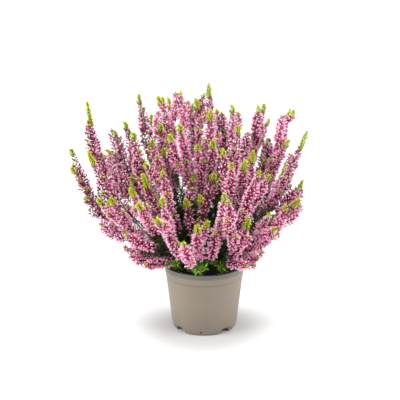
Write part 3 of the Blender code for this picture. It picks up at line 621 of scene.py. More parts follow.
def spindle(rings, sides, lobed=()):
    """A bmesh from a pole through rings of (radius, height) to a pole; the last ring may be lobed."""
    bm = bmesh.new()
    ring = bmesh.ops.create_circle(bm, segments=sides, radius=1.0)["verts"]
    first = ring
    for k, (radius, z) in enumerate(rings[1:-1]):
        if k:
            ring = extruded(bm, ring)
        for j, vert in enumerate(ring):
            r, h = (lobed[j % 2] if lobed and k == len(rings) - 3 else (radius, z))
            angle = 2 * math.pi * j / sides
            vert.co = (r * math.cos(angle), r * math.sin(angle), h)
    for loop, (_, z) in ((first, rings[0]), (ring, rings[-1])):
        pole = bmesh.ops.create_vert(bm, co=(0, 0, z))["vert"][0]
        for a, b in zip(loop, loop[1:] + loop[:1]):
            bm.faces.new((a, b, pole))
    bmesh.ops.recalc_face_normals(bm, faces=bm.faces)
    return bm


def extruded(bm, ring):
    """Extrudes the edges of a closed ring and gives the new ring in the same order."""
    edges = [bm.edges.get((a, b)) for a, b in zip(ring, ring[1:] + ring[:1])]
    raised = bmesh.ops.extrude_edge_only(bm, edges=edges)["geom"]
    new = {v for v in raised if isinstance(v, bmesh.types.BMVert)}
    return [next(e.other_vert(v) for e in v.link_edges if e.other_vert(v) in new) for v in ring]


def growth_mesh():
    """An empty bmesh whose points carry how far along, what tone and how bright they are."""
    bm = bmesh.new()
    bm.verts.layers.float_color.new("growth")
    return bm


def tube(bm, points, radii, sides):
    """Adds a closed round stem along a curve."""
    part = growth_mesh()
    layer = part.verts.layers.float_color["growth"]
    ahead, across, over = frames(np.asarray(points, float))
    ring = bmesh.ops.create_circle(part, segments=sides, radius=1.0, cap_ends=True)["verts"]
    for k, (centre, radius) in enumerate(zip(points, radii)):
        if k:
            ring = extruded(part, ring)
        for j, vert in enumerate(ring):
            angle = 2 * math.pi * j / sides
            vert.co = centre + radius * (math.cos(angle) * across[k] + math.sin(angle) * over[k])
            vert[layer] = (k / max(1, len(points) - 1), *PLAIN_GROWTH)
    part.faces.new(ring)
    for face in part.faces:
        face.material_index = STEMS
    bmesh.ops.recalc_face_normals(part, faces=part.faces)
    stem = kept("stem_mesh", lambda: bpy.data.meshes.new("stem_mesh"))
    part.to_mesh(stem)
    part.free()
    bm.from_mesh(stem)


def new_piece(name, bm, materials, nodes=(), smooth=True):
    """Links a bmesh as a piece that rides with the pot, and hides the frame's nodes that it stands for."""
    bmesh.ops.scale(bm, vec=(MM, MM, MM), verts=bm.verts)
    mesh = bpy.data.meshes.new(name)
    bm.to_mesh(mesh)
    bm.free()
    for material in materials:
        mesh.materials.append(material)
    if smooth:
        mesh.shade_smooth()
    piece = bpy.data.objects.new(name, mesh)
    bpy.context.scene.collection.objects.link(piece)
    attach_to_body(piece, "root")
    if nodes:
        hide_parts(*nodes)
    return piece


_kept = {}


def kept(name, make):
    """What make() gives, made once."""
    if name not in _kept:
        _kept[name] = make()
    return _kept[name]


def plant():
    """The sprays and their curves."""
    sprays = FRONT_SPRAYS + back_sprays()
    return sprays, bend_clear(lay_out(sprays), sprays)


def open_bud():
    """A bud whose sepals part at the tip."""
    rings = [(0.0, 0.0), (0.16, 0.5), (0.15, 0.9), (0.0, 0.7)]
    return Shape("open_bud", spindle(rings, 6, lobed=((0.18, 1.0), (0.08, 0.72))))


def closed_bud():
    """A closed bud on its short stalk."""
    rings = [(0.0, 0.0), (0.05, 0.36), (0.2, 0.68), (0.0, 1.0)]
    return Shape("closed_bud", spindle(rings, 4))


def leaf():
    """A small keeled leaf."""
    return Shape("small_leaf", spindle([(0.0, 0.0), (0.5, 0.42), (0.0, 1.0)], 3))


def crumb():
    """A bit of peat or bark."""
    bm = bmesh.new()
    bmesh.ops.create_icosphere(bm, subdivisions=1, radius=0.5)
    bmesh.ops.translate(bm, verts=bm.verts, vec=(0, 0, 0.5))
    return Shape("crumb", bm)


# Materials


def mixed(tree, factor, first, second, blend="MIX"):
    """A colour mix; each input is a socket or a value."""
    node = tree.nodes.new("ShaderNodeMix")
    node.data_type = "RGBA"
    node.blend_type = blend
    for socket, value in ((node.inputs[0], factor), (node.inputs[6], first), (node.inputs[7], second)):
        attach(tree, value, socket)
    return node.outputs[2]


def attach(tree, value, socket):
    if isinstance(value, bpy.types.NodeSocket):
        tree.links.new(value, socket)
    elif hasattr(value, "__len__"):
        socket.default_value = (*value[:3], 1.0)
    else:
        socket.default_value = value


def maths(tree, operation, first, second=0.0):
    node = tree.nodes.new("ShaderNodeMath")
    node.operation = operation
    attach(tree, first, node.inputs[0])
    attach(tree, second, node.inputs[1])
    return node.outputs[0]


def smooth_between(tree, value, low, high):
    """0 below low, 1 above high, with a soft step between."""
    node = tree.nodes.new("ShaderNodeMapRange")
    node.interpolation_type = "SMOOTHSTEP"
    attach(tree, value, node.inputs[0])
    node.inputs[1].default_value = low
    node.inputs[2].default_value = high
    return node.outputs[0]


def noise(tree, scale, detail=3.0):
    """Noise on object coordinates, scale in cells per metre."""
    where = tree.nodes.new("ShaderNodeTexCoord")
    node = tree.nodes.new("ShaderNodeTexNoise")
    tree.links.new(where.outputs["Object"], node.inputs["Vector"])
    attach(tree, scale, node.inputs["Scale"])
    node.inputs["Detail"].default_value = detail
    node.inputs["Roughness"].default_value = NOISE_ROUGHNESS
    return node.outputs[0]


def new_group(name, inputs, outputs):
    """An empty shader node group with named sockets, its input node and its output node."""
    tree = bpy.data.node_groups.new(name, "ShaderNodeTree")
    for kind, default, label in inputs:
        socket = tree.interface.new_socket(label, in_out="INPUT", socket_type=kind)
        socket.default_value = default
    for kind, label in outputs:
        tree.interface.new_socket(label, in_out="OUTPUT", socket_type=kind)
    return tree, tree.nodes.new("NodeGroupInput"), tree.nodes.new("NodeGroupOutput")


def growth_colour():
    """Colour of a leaf or bud from foot to tip, with its own tone, dull where it isn't in bloom."""
    colour, value = "NodeSocketColor", "NodeSocketFloat"
    white = (1.0, 1.0, 1.0, 1.0)
    tree, given, out = new_group("growth_colour", [
        (colour, white, "Foot"), (colour, white, "Body"), (colour, white, "Deep body"),
        (colour, white, "Tip"), (colour, white, "Dull"), (value, 0.3, "Tone range"),
    ], [(colour, "Colour")])
    growth = tree.nodes.new("ShaderNodeAttribute")
    growth.attribute_name = "growth"
    parts = tree.nodes.new("ShaderNodeSeparateColor")
    tree.links.new(growth.outputs["Color"], parts.inputs[0])
    along, tone, bloom = parts.outputs[0], parts.outputs[1], parts.outputs[2]
    body = mixed(tree, tone, given.outputs["Body"], given.outputs["Deep body"])
    low = mixed(tree, smooth_between(tree, along, *FOOT_FADE), given.outputs["Foot"], body)
    high = mixed(tree, smooth_between(tree, along, *TIP_FADE), low, given.outputs["Tip"])
    dull = mixed(tree, smooth_between(tree, bloom, *BLOOM_FADE), given.outputs["Dull"], high)
    speckle = noise(tree, SPECKLE_SCALE, 2.0)
    spread = maths(tree, "MULTIPLY", maths(tree, "SUBTRACT", speckle, 0.5), given.outputs["Tone range"])
    level = maths(tree, "ADD", maths(tree, "MULTIPLY", spread, 2.0), 1.0)
    shaded = mixed(tree, 1.0, dull, combined(tree, level), "MULTIPLY")
    tree.links.new(shaded, out.inputs["Colour"])
    return tree


def combined(tree, value):
    node = tree.nodes.new("ShaderNodeCombineColor")
    for socket in node.inputs:
        tree.links.new(value, socket)
    return node.outputs[0]


def fine_grain():
    """Fine unevenness of a surface: a height for its bump and a mask for its colour."""
    value = "NodeSocketFloat"
    tree, given, out = new_group("fine_grain", [
        (value, 400.0, "Coarse scale"), (value, 2500.0, "Fine scale"), (value, 0.5, "Share of fine"),
    ], [(value, "Height"), (value, "Mask")])
    coarse = noise(tree, given.outputs["Coarse scale"])
    fine = noise(tree, given.outputs["Fine scale"], 2.0)
    height = maths(tree, "ADD", coarse, maths(tree, "MULTIPLY", fine, given.outputs["Share of fine"]))
    tree.links.new(height, out.inputs["Height"])
    tree.links.new(smooth_between(tree, coarse, 0.3, 0.7), out.inputs["Mask"])
    return tree


def new_material(name, base_colour, roughness):
    material = bpy.data.materials.new(name)
    material.use_nodes = True
    shader = material.node_tree.nodes["Principled BSDF"]
    shader.inputs["Base Color"].default_value = (*base_colour, 1.0)
    shader.inputs["Roughness"].default_value = roughness
    return material, material.node_tree, shader


def placed_group(tree, name, make, **values):
    node = tree.nodes.new("ShaderNodeGroup")
    node.node_tree = kept(name, make)
    for label, value in values.items():
        attach(tree, value, node.inputs[label.replace("_", " ")])
    return node


def bumped(tree, shader, height, distance):
    bump = tree.nodes.new("ShaderNodeBump")
    bump.inputs["Distance"].default_value = distance
    tree.links.new(height, bump.inputs["Height"])
    tree.links.new(bump.outputs[0], shader.inputs["Normal"])


def grown_material(name, roughness, **colours):
    """A leaf or petal material that reads the growth of its piece."""
    material, tree, shader = new_material(name, colours["Body"], roughness)
    shader.inputs["Specular IOR Level"].default_value = PLANT_SPECULAR
    group = placed_group(tree, "growth_colour", growth_colour, **colours)
    tree.links.new(group.outputs[0], shader.inputs["Base Color"])
    return material, tree, shader


def floret_material():
    look = bpy.context.scene.heather_colours
    # The foot colour of each floret is partly painted shade, where the florets crowd the stem.
    material, tree, shader = grown_material(
        "heather_floret", 0.55, Foot=look.floret_foot_and_shade, Body=look.floret, Deep_body=look.floret_deep,
        Tip=look.floret_tip, Dull=look.floret_dull, Tone_range=0.35)
    shader.inputs["Subsurface Weight"].default_value = PETAL_SCATTER
    shader.inputs["Subsurface Radius"].default_value = PETAL_RADIUS
    shader.inputs["Subsurface Scale"].default_value = PETAL_DEPTH
    return material


def leaf_material():
    look = bpy.context.scene.heather_colours
    return grown_material(
        "heather_leaf", 0.5, Foot=look.leaf_deep, Body=look.leaf, Deep_body=look.leaf_deep,
        Tip=look.leaf, Dull=look.leaf_deep, Tone_range=0.5)[0]


# Leaves inside the plant: a darker copy of the leaf colours, painted shade of the hollow inside the bush.
def shaded_inner_leaf_material():
    look = bpy.context.scene.heather_colours
    return grown_material(
        "shaded_inner_leaf", 0.55, Foot=look.shaded_inner_leaf_deep, Body=look.shaded_inner_leaf, Deep_body=look.shaded_inner_leaf_deep,
        Tip=look.shaded_inner_leaf, Dull=look.shaded_inner_leaf_deep, Tone_range=0.5)[0]


def young_leaf_material():
    look = bpy.context.scene.heather_colours
    return grown_material(
        "young_leaf", 0.5, Foot=look.young_leaf_deep, Body=look.young_leaf, Deep_body=look.young_leaf_warm,
        Tip=look.young_leaf, Dull=look.young_leaf_deep, Tone_range=0.3)[0]


def basal_leaf_material():
    look = bpy.context.scene.heather_colours
    return grown_material(
        "basal_leaf", 0.45, Foot=look.basal_leaf, Body=look.basal_leaf, Deep_body=look.basal_leaf_light,
        Tip=look.basal_leaf_light, Dull=look.leaf, Tone_range=0.4)[0]


def stem_material():
    look = bpy.context.scene.heather_colours
    material, tree, shader = new_material("woody_stem", look.stem, 0.8)
    grain = placed_group(tree, "fine_grain", fine_grain, Coarse_scale=260.0, Fine_scale=1800.0)
    bark = mixed(tree, grain.outputs["Mask"], look.stem, look.stem_light)
    tree.links.new(bark, shader.inputs["Base Color"])
    bumped(tree, shader, grain.outputs["Height"], 0.0006)
    return material


def pot_material():
    look = bpy.context.scene.heather_colours
    material, tree, shader = new_material("moulded_pot", look.pot, 0.5)
    grain = placed_group(tree, "fine_grain", fine_grain, Coarse_scale=38.0, Fine_scale=2600.0,
                         Share_of_fine=0.35)
    worn = mixed(tree, maths(tree, "MULTIPLY", grain.outputs["Mask"], POT_WEAR), look.pot, look.pot_light)
    where = tree.nodes.new("ShaderNodeTexCoord")
    parts = tree.nodes.new("ShaderNodeSeparateXYZ")
    tree.links.new(where.outputs["Object"], parts.inputs[0])
    height = maths(tree, "DIVIDE", parts.outputs["Z"], MM)
    # Painted shade: from its foot to the rim, the lip is darker and greyer where the overhanging plant shades
    # it.
    lip = mixed(tree, smooth_between(tree, height, POT_HEIGHT - LIP_HEIGHT, POT_HEIGHT - LIP_HEIGHT + 1.0),
                worn, look.pot_lip_shade)
    tree.links.new(shaded_creases(tree, height, lip), shader.inputs["Base Color"])
    rough = smooth_between(tree, grain.outputs["Mask"], -0.6, 2.4)
    rough = maths(tree, "ADD", maths(tree, "MULTIPLY", rough, POT_ROUGHNESS_RANGE), POT_ROUGHNESS)
    tree.links.new(rough, shader.inputs["Roughness"])
    bumped(tree, shader, grain.outputs["Height"], 0.00012)
    return material


def shaded_creases(tree, height, colour):
    """The colour with fine dark lines of painted shade under the lip and at the ring, where the ledges
    overhang.
    """
    for level in (POT_HEIGHT - LIP_HEIGHT, GROOVE_HEIGHT - 0.6):
        away = maths(tree, "ABSOLUTE", maths(tree, "SUBTRACT", height, level))
        colour = mixed(tree, maths(tree, "SUBTRACT", 1.0, smooth_between(tree, away, *CREASE_FADE)), colour,
                       mixed(tree, 1.0, colour, CREASE_SHADE, "MULTIPLY"))
    return colour


def peat_material():
    look = bpy.context.scene.heather_colours
    material, tree, shader = new_material("black_peat", look.peat, 0.95)
    grain = placed_group(tree, "fine_grain", fine_grain, Coarse_scale=330.0, Fine_scale=1500.0,
                         Share_of_fine=0.6)
    mottled = mixed(tree, grain.outputs["Mask"], look.peat, look.peat_light)
    tree.links.new(mottled, shader.inputs["Base Color"])
    bumped(tree, shader, grain.outputs["Height"], 0.0015)
    return material


# Pot and peat


def wall_radius(height):
    return WALL_FOOT_RADIUS + WALL_SLOPE * height


def plain(radius, height):
    return lambda angle: (radius, height)


def notch_share(angle):
    """1 in the middle of a foot notch, 0 on a foot, with a soft step between."""
    period = 2 * math.pi / NOTCH_COUNT
    away = abs((angle - NOTCH_ANGLE + period / 2) % period - period / 2)
    share = min(1.0, max(0.0, (NOTCH_WIDTH / 2 - away) / (NOTCH_WIDTH / 4)))
    return share * share * (3 - 2 * share)


def notched(foot, notch):
    def ring(angle):
        share = notch_share(angle)
        return tuple(a + (b - a) * share for a, b in zip(foot, notch))

    return ring


def turned(rings, sides, start_angle=0.0):
    """A closed bmesh from rings that give (radius, height) at an angle, each end closed to a pole."""
    bm = bmesh.new()
    angles = [start_angle + 2 * math.pi * j / sides for j in range(sides)]
    current = bmesh.ops.create_circle(bm, segments=sides, radius=1.0)["verts"]
    first = current
    for k, ring in enumerate(rings):
        if k:
            current = extruded(bm, current)
        for vert, angle in zip(current, angles):
            radius, height = ring(angle)
            vert.co = (radius * math.sin(angle), -radius * math.cos(angle), height)
    for loop in (first, current):
        pole = bmesh.ops.create_vert(bm, co=(0, 0, sum(v.co.z for v in loop) / sides))["vert"][0]
        for a, b in zip(loop, loop[1:] + loop[:1]):
            bm.faces.new((a, b, pole))
    bmesh.ops.recalc_face_normals(bm, faces=bm.faces)
    return bm


def rounded(points, size, steps=3):
    """A profile of (radius, height) points whose corners are rounded."""
    out = [points[0]]
    for before, corner, after in zip(points, points[1:], points[2:]):
        a, b, c = np.array(before), np.array(corner), np.array(after)
        cut = min(size, 0.45 * np.linalg.norm(a - b), 0.45 * np.linalg.norm(c - b))
        start, end = b + unit(a - b) * cut, b + unit(c - b) * cut
        for t in np.linspace(0, 1, steps):
            out.append(tuple((1 - t) ** 2 * start + 2 * t * (1 - t) * b + t**2 * end))
    return out + [points[-1]]


def make_pot():
    """The pot: lip, groove, notched foot and drain holes."""
    lip_low = POT_HEIGHT - LIP_HEIGHT
    groove = GROOVE_HEIGHT
    outside = rounded([
        (wall_radius(FOOT_TOP), FOOT_TOP), (wall_radius(40), 40.0),
        (wall_radius(groove - 1.2), groove - 1.2), (wall_radius(groove) + 0.6, groove),
        (wall_radius(lip_low) + 0.6, lip_low), (RIM_RADIUS - 0.5, lip_low + 0.6),
        (RIM_RADIUS, POT_HEIGHT - 0.4), (RIM_RADIUS - 1.2, POT_HEIGHT),
        (RIM_RADIUS - LIP_OVERHANG - WALL, POT_HEIGHT), (wall_radius(lip_low) - WALL, lip_low),
        (wall_radius(FOOT_TOP + 2.4) - WALL, FOOT_TOP + 2.4),
    ], 0.5)
    rings = [
        plain(FLOOR_RADIUS, 0.0),
        notched((FOOT_RADIUS - 0.8, 0.0), (FLOOR_RADIUS + 1.2, NOTCH_HEIGHT - 0.9)),
        notched((FOOT_RADIUS, 0.0), (FLOOR_RADIUS + 1.6, NOTCH_HEIGHT - 0.7)),
        notched((FOOT_RADIUS + 0.9, 0.3), (FOOT_RADIUS + 1.3, NOTCH_HEIGHT - 0.3)),
        notched((FOOT_RADIUS + 1.6, 1.3), (FOOT_RADIUS + 1.9, NOTCH_HEIGHT)),
        notched((FOOT_RADIUS + 2.2, 3.4), (FOOT_RADIUS + 2.8, NOTCH_HEIGHT + 0.5)),
        *[plain(*point) for point in outside],
        notched((FOOT_RADIUS - 0.2, 3.2), (FOOT_RADIUS - 0.2, NOTCH_HEIGHT + 2.2)),
        notched((FOOT_RADIUS - 1.4, FLOOR_THICKNESS), (FLOOR_RADIUS - 0.3, NOTCH_HEIGHT + 1.2)),
        plain(FLOOR_RADIUS - 1.2, FLOOR_THICKNESS),
    ]
    bm = turned(rings, 144, NOTCH_ANGLE)
    piece = new_piece("pot_moulded", bm, [kept("pot", pot_material)], ["pot"])
    drills = bmesh.new()
    for k in range(DRAIN_COUNT):
        angle = DRAIN_ANGLE + 2 * math.pi * k / DRAIN_COUNT
        way = Vector((math.sin(angle), -math.cos(angle), 0.0))
        rod = bmesh.ops.create_cone(drills, cap_ends=True, segments=20, radius1=DRAIN_RADIUS,
                                    radius2=DRAIN_RADIUS, depth=DRAIN_DEPTH)["verts"]
        turn = Vector((0, 0, 1)).rotation_difference(way).to_matrix()
        bmesh.ops.rotate(drills, verts=rod, matrix=turn)
        bmesh.ops.translate(drills, verts=rod, vec=way * (FOOT_RADIUS + WALL) + Vector((0, 0, DRAIN_HEIGHT)))
    bmesh.ops.scale(drills, vec=(MM, MM, MM), verts=drills.verts)
    mesh = bpy.data.meshes.new("drain_drills")
    drills.to_mesh(mesh)
    drills.free()
    drill = bpy.data.objects.new("drain_drills", mesh)
    bpy.context.scene.collection.objects.link(drill)
    cut = piece.modifiers.new("drains", "BOOLEAN")
    cut.operation = "DIFFERENCE"
    cut.solver = "EXACT"
    cut.object = drill
    graph = bpy.context.evaluated_depsgraph_get()
    graph.update()
    result = bpy.data.meshes.new_from_object(piece.evaluated_get(graph), depsgraph=graph)
    piece.modifiers.remove(cut)
    piece.data = result
    bpy.data.objects.remove(drill, do_unlink=True)
    piece.data.shade_smooth()
    piece.data.set_sharp_from_angle(angle=math.radians(32))


def soil_height(x, y):
    """Height of the crumbly top of the peat."""
    radius, angle = math.hypot(x, y), math.atan2(x, -y)
    waves = math.sin(3.1 * angle + 0.16 * radius) + math.sin(5.3 * angle - 0.29 * radius + 1.2)
    fine = math.sin(0.9 * x + 0.4 * y) * math.sin(0.7 * y - 0.5 * x)
    fine = fine + 0.6 * math.sin(1.9 * x) * math.sin(2.1 * y)
    return SOIL_TOP + (0.5 * SOIL_BUMP * waves + 0.35 * fine) * min(1.0, radius / 12.0)


def make_peat():
    """The root ball with an uneven top, and loose crumbs and bark bits on it."""
    inner = -WALL - 0.35
    edge = wall_radius(SOIL_TOP) + inner - 0.2

    def top(share):
        def ring(angle):
            radius = edge * share
            return radius, soil_height(radius * math.sin(angle), -radius * math.cos(angle))
        return ring

    rings = [
        plain(FLOOR_RADIUS - 3.0, FLOOR_THICKNESS + 0.4), plain(FLOOR_RADIUS - 2.0, 11.5),
        plain(wall_radius(11.5) + inner - 0.2, 12.0), plain(edge, SOIL_TOP - 1.5),
        *[top(share) for share in np.linspace(0.985, 0.03, 30)],
    ]
    material = kept("peat", peat_material)
    new_piece("peat_ball", turned(rings, 72), [material], ["soil"])
    draw = np.random.default_rng(PEAT_SEED)
    bm, bit = growth_mesh(), kept("crumb", crumb)
    for _ in range(CRUMBS):
        radius, angle = edge * 0.96 * math.sqrt(draw.uniform()), draw.uniform(0, 2 * math.pi)
        x, y = radius * math.sin(angle), -radius * math.cos(angle)
        size = draw.uniform(*CRUMB_SIZE)
        foot = np.array([x, y, soil_height(x, y) - 0.3])
        bit.put(bm, foot, draw.normal(size=3), size * draw.uniform(0.5, 1.0),
                size * draw.uniform(0.9, 1.6), draw.uniform(0, 6.3), flat=draw.uniform(0.5, 1.0))
    new_piece("peat_crumbs", bm, [material], smooth=False)


# Flowers and leaves


def on_curve(points, at):
    """Places and cross directions at distances along a curve, in millimetres."""
    fine = resample(points, 200)
    total = length_of(fine)
    ahead, across, over = frames(fine)
    share = np.clip(np.asarray(at, float) / total, 0, 1) * (len(fine) - 1)
    low = np.minimum(share.astype(int), len(fine) - 2)
    rest = (share - low)[:, None]
    place = fine[low] + (fine[low + 1] - fine[low]) * rest
    return place, ahead[low], across[low], over[low]


def outward(across, over, turn):
    """The direction away from a stem, at a turn round it."""
    return math.cos(turn) * across + math.sin(turn) * over


def leafy_tip(bm, points, start, draw, length, lean, pitch, bloom):
    """Small leaves in pairs, set crosswise, from a distance along a curve to its end."""
    total = length_of(points)
    count = max(3, int((total - start) / pitch))
    at = start + (total - start) * (np.arange(count) + 0.5) / count
    place, ahead, across, over = on_curve(points, at)
    shape = kept("leaf", leaf)
    for k in range(count):
        share = k / (count - 1)
        size = length * (1.0 - 0.3 * share**3) * draw.uniform(0.8, 1.2)
        angle = lean * (1.0 - 0.6 * share**4)
        for side in (0, 1):
            turn = k * math.pi / 2 + side * math.pi + draw.uniform(-0.25, 0.25)
            way = outward(across[k], over[k], turn)
            axis = ahead[k] * math.cos(angle) + way * math.sin(angle)
            shape.put(bm, place[k] + way * 0.25, axis, size, size * TIP_LEAF_WIDTH, turn,
                      tone=draw.uniform(0, 1), bloom=bloom + draw.uniform(-0.2, 0.2), material=LEAVES,
                      flat=LEAF_FLAT)


def side_twig(bm, foot, axis, length, draw, leaf_length, bloom):
    """A short leafy side shoot that curves up."""
    axis = unit(axis)
    end = foot + axis * length + np.array([0, 0, 0.18 * length])
    path = resample(np.array([foot, foot + axis * 0.5 * length, end]), 6)
    tube(bm, path, np.linspace(*TWIG_RADII, 6), 3)
    leafy_tip(bm, path, 0.08 * length, draw, leaf_length, TWIG_LEAF_LEAN, TWIG_LEAF_PITCH, bloom)


def side_twigs(bm, length, stations, draw, first, pitch, longest, leaf_length):
    """Leafy side shoots along a stem, from a first distance on, each at a random turn."""
    place, ahead, across, over = stations
    for along in np.arange(first, length, pitch):
        k = min(len(place) - 1, int(along / length * len(place)))
        way = outward(across[k], over[k], draw.uniform(0, 2 * math.pi))
        side_twig(bm, place[k], ahead[k] * 0.55 + way * 0.85, draw.uniform(9, longest), draw, leaf_length,
                  draw.uniform(0.1, 0.6))


def dress_spike(flowers, greens, points, foot, green, look, draw, small=1.0, twigs=True):
    """Florets along one spike, a stalk inside it, short flowering side twigs and leaves at its tip."""
    sizes = bpy.context.scene.heather_sizes
    total = length_of(points)
    top = total - green
    joints = max(6, int(total / 6))
    tube(greens, resample(points, joints), np.linspace(SPIKE_STEM, SPIKE_TIP, joints), 5)
    add_florets(flowers, greens, points, foot, top, look, draw, small)
    if twigs and total > 45:
        add_flowering_twigs(flowers, greens, points, foot, top, look, draw, small)
    leafy_tip(greens, points, top, draw, sizes.tip_leaf_length / MM, TIP_LEAF_LEAN, TIP_LEAF_PITCH,
              YOUNG_GLOW)
    if green > LONG_TIP:
        add_tip_twigs(greens, points, top, green, draw)


def add_florets(flowers, greens, points, foot, top, look, draw, small):
    """Florets in a spiral along a spike, the young ones smaller, with a small leaf at every third."""
    sizes = bpy.context.scene.heather_sizes
    full, bloom, depth = look
    count = int((top - foot) / 10 * sizes.florets_per_centimetre * (0.35 + 0.65 * full))
    if count < 2:
        return
    share = (np.arange(count) + draw.uniform(0.1, 0.9, count)) / count
    share = share ** (1.0 + 0.25 * (1 - full))
    place, ahead, across, over = on_curve(points, foot + (top + 1.5 - foot) * share)
    open_shape, closed_shape = kept("open_bud", open_bud), kept("closed_bud", closed_bud)
    for k in range(count):
        young = max(0.0, (share[k] - YOUNG_FROM) / (1 - YOUNG_FROM))
        way = outward(across[k], over[k], k * GOLDEN + draw.uniform(-0.35, 0.35))
        angle = math.radians(FLORET_LEAN - YOUNG_UPRIGHT * young + draw.uniform(-12, 10))
        axis = ahead[k] * math.cos(angle) + way * math.sin(angle)
        length = (sizes.floret_length / MM - YOUNG_SHORTER * young) * draw.uniform(0.8, 1.08) * small
        width = (sizes.floret_width / MM - YOUNG_NARROWER * young) * draw.uniform(0.85, 1.15) * small
        glow = bloom + draw.uniform(-0.35, 0.3) - 0.4 * young + 0.1 * (1 - share[k])
        shape = open_shape
        if draw.uniform() < 0.75 - 0.6 * bloom + 0.5 * young:
            shape, length, width = closed_shape, CLOSED_LENGTH * length, CLOSED_WIDTH * width
        shape.put(flowers, place[k] + way * 0.4, axis, length, width, draw.uniform(0, 6.3),
                  bend=draw.uniform(0.0, 0.12), bloom=min(1.0, max(0.0, glow)),
                  tone=min(1.0, max(0.0, depth + draw.uniform(-TONE_SPREAD, TONE_SPREAD))))
    leaves = kept("leaf", leaf)
    for k in range(0, count, 3):
        turn = k * GOLDEN + 1.3
        way = outward(across[k], over[k], turn)
        axis = ahead[k] * 0.75 + way * 0.66
        leaves.put(greens, place[k] + way * 0.3, axis, draw.uniform(*SMALL_LEAF_LENGTH), 1.1, turn,
                   tone=draw.uniform(0, 1), bloom=draw.uniform(0.1, 0.6), material=SMALL_LEAVES,
                   flat=LEAF_FLAT)


def add_flowering_twigs(flowers, greens, points, foot, top, look, draw, small):
    """Short flowering twigs that leave a spike in its lower part."""
    pitch = bpy.context.scene.heather_sizes.twig_spacing / MM * (1.6 - 0.7 * look[0])
    for along in np.arange(foot + 6 + draw.uniform(0, 8), foot + 0.7 * (top - foot), pitch):
        place, ahead, across, over = on_curve(points, [along])
        way = outward(across[0], over[0], draw.uniform(0, 2 * math.pi))
        size = draw.uniform(*TWIG_LENGTH)
        end = place[0] + (ahead[0] * 0.88 + way * 0.48) * size + np.array([0, 0, 0.1 * size])
        path = np.array([place[0], place[0] + (ahead[0] * 0.7 + way * 0.7) * 0.5 * size, end])
        dress_spike(flowers, greens, path, 1.0, draw.uniform(1, 4), look, draw, TWIG_FLORETS * small, False)


def add_tip_twigs(greens, points, top, green, draw):
    """Leafy side shoots round a long green tip, shorter towards its end."""
    count = int(green / 2.2)
    place, ahead, across, over = on_curve(points, top + np.linspace(-0.05, 0.8, count) * green)
    for k in range(count):
        way = outward(across[k], over[k], k * 2.2 + draw.uniform(0, 1))
        length = draw.uniform(4.0, 8.0) * (1 - 0.45 * k / count)
        side_twig(greens, place[k], ahead[k] * 0.75 + way * 0.66, length, draw, 3.8, YOUNG_GLOW)


def dress_spray(number, main, sides, spray, look):
    """The pieces of one flower spray: its florets, and its leaves with the stalks."""
    draw = np.random.default_rng(SPRAY_SEED + number)
    flowers, greens = growth_mesh(), growth_mesh()
    total = length_of(main.points)
    start = max(0.0, total - spray.flowers)
    path = part_of(resample(main.points, 80), start, total)
    dress_spike(flowers, greens, path, 1.0, spray.green, look, draw)
    for side in sides:
        dress_spike(flowers, greens, side.points, 3.0, 0.6 * spray.green + 4, look, draw, small=0.95)
    node = f"flower_spray_{number:02d}"
    new_piece(f"{node}_florets", flowers, [kept("floret", floret_material)], [node])
    new_piece(f"{node}_leaves", greens, spike_materials(), [node])


def spike_materials():
    """Tip leaves, stalks and the small leaves among the florets."""
    return [kept("young_leaf", young_leaf_material), kept("stem", stem_material),
            kept("leaf_look", leaf_material)]


def back_twigs():
    """Flowering twigs over the rim on the far side, spread by the golden angle."""
    draw = np.random.default_rng(BACK_TWIG_SEED)
    twigs = []
    for k in range(BACK_TWIGS):
        azimuth = math.radians(75 + 210 * ((k * GOLDEN_SHARE) % 1.0))
        way = np.array([math.sin(azimuth), -math.cos(azimuth), 0.0])
        root = way * BACK_TWIG_ROOT[0] + [0, 0, BACK_TWIG_ROOT[1]]
        tip = way * draw.uniform(*BACK_TWIG_REACH) + [0, 0, draw.uniform(*BACK_TWIG_HEIGHT)]
        twigs.append((root, tip, 0.6, 5, PLAIN_TWIG))
    return twigs


def dress_twigs(name, twigs):
    """The pieces of a group of flowering twigs."""
    draw = np.random.default_rng(TWIG_SEED + len(twigs))
    flowers, greens = growth_mesh(), growth_mesh()
    for root, tip, bow, green, look in twigs:
        path = resample(bowed(root, tip, bow), 20)
        dress_spike(flowers, greens, path, 2.0, green, look, draw)
    new_piece(f"{name}_florets", flowers, [kept("floret", floret_material)])
    new_piece(f"{name}_leaves", greens, spike_materials())


def dress_branch(number, mains, sprays):
    """A woody branch, its leafy stems and their short side shoots."""
    sizes = bpy.context.scene.heather_sizes
    draw = np.random.default_rng(BRANCH_SEED + number)
    bm = growth_mesh()
    path = resample(branch_path(number), 14)
    tube(bm, path, np.linspace(BRANCH_FOOT_RADIUS, BRANCH_TOP_RADIUS, 14), 10)
    shape = kept("leaf", leaf)
    for main in mains:
        end = length_of(main.points) - sprays[main.node].flowers
        if end < 4:
            continue
        stem = part_of(resample(main.points, 80), 0, end)
        tube(bm, stem, np.linspace(STEM_RADIUS, SPIKE_STEM, len(stem)), 6)
        count = int(end / STEM_LEAF_PITCH)
        stations = on_curve(stem, np.linspace(0.12, 1, count) * end)
        place, ahead, across, over = stations
        for k in range(count):
            way = outward(across[k], over[k], k * GOLDEN)
            axis = ahead[k] * draw.uniform(0.5, 0.9) + way * 0.7
            size = sizes.stem_leaf_length / MM * draw.uniform(0.7, 1.2)
            shape.put(bm, place[k] + way * 0.7, axis, size, 1.4, k * GOLDEN, bend=0.1,
                      tone=draw.uniform(0, 1), bloom=draw.uniform(0.0, 0.9), material=LEAVES, flat=LEAF_FLAT)
        side_twigs(bm, end, stations, draw, 9.0, 6.5, 17, 3.4)
    node = f"branch_{number + 1:02d}"
    looks = [kept("leaf_look", leaf_material), kept("stem", stem_material)]
    new_piece(f"{node}_leafy", bm, looks, [node])


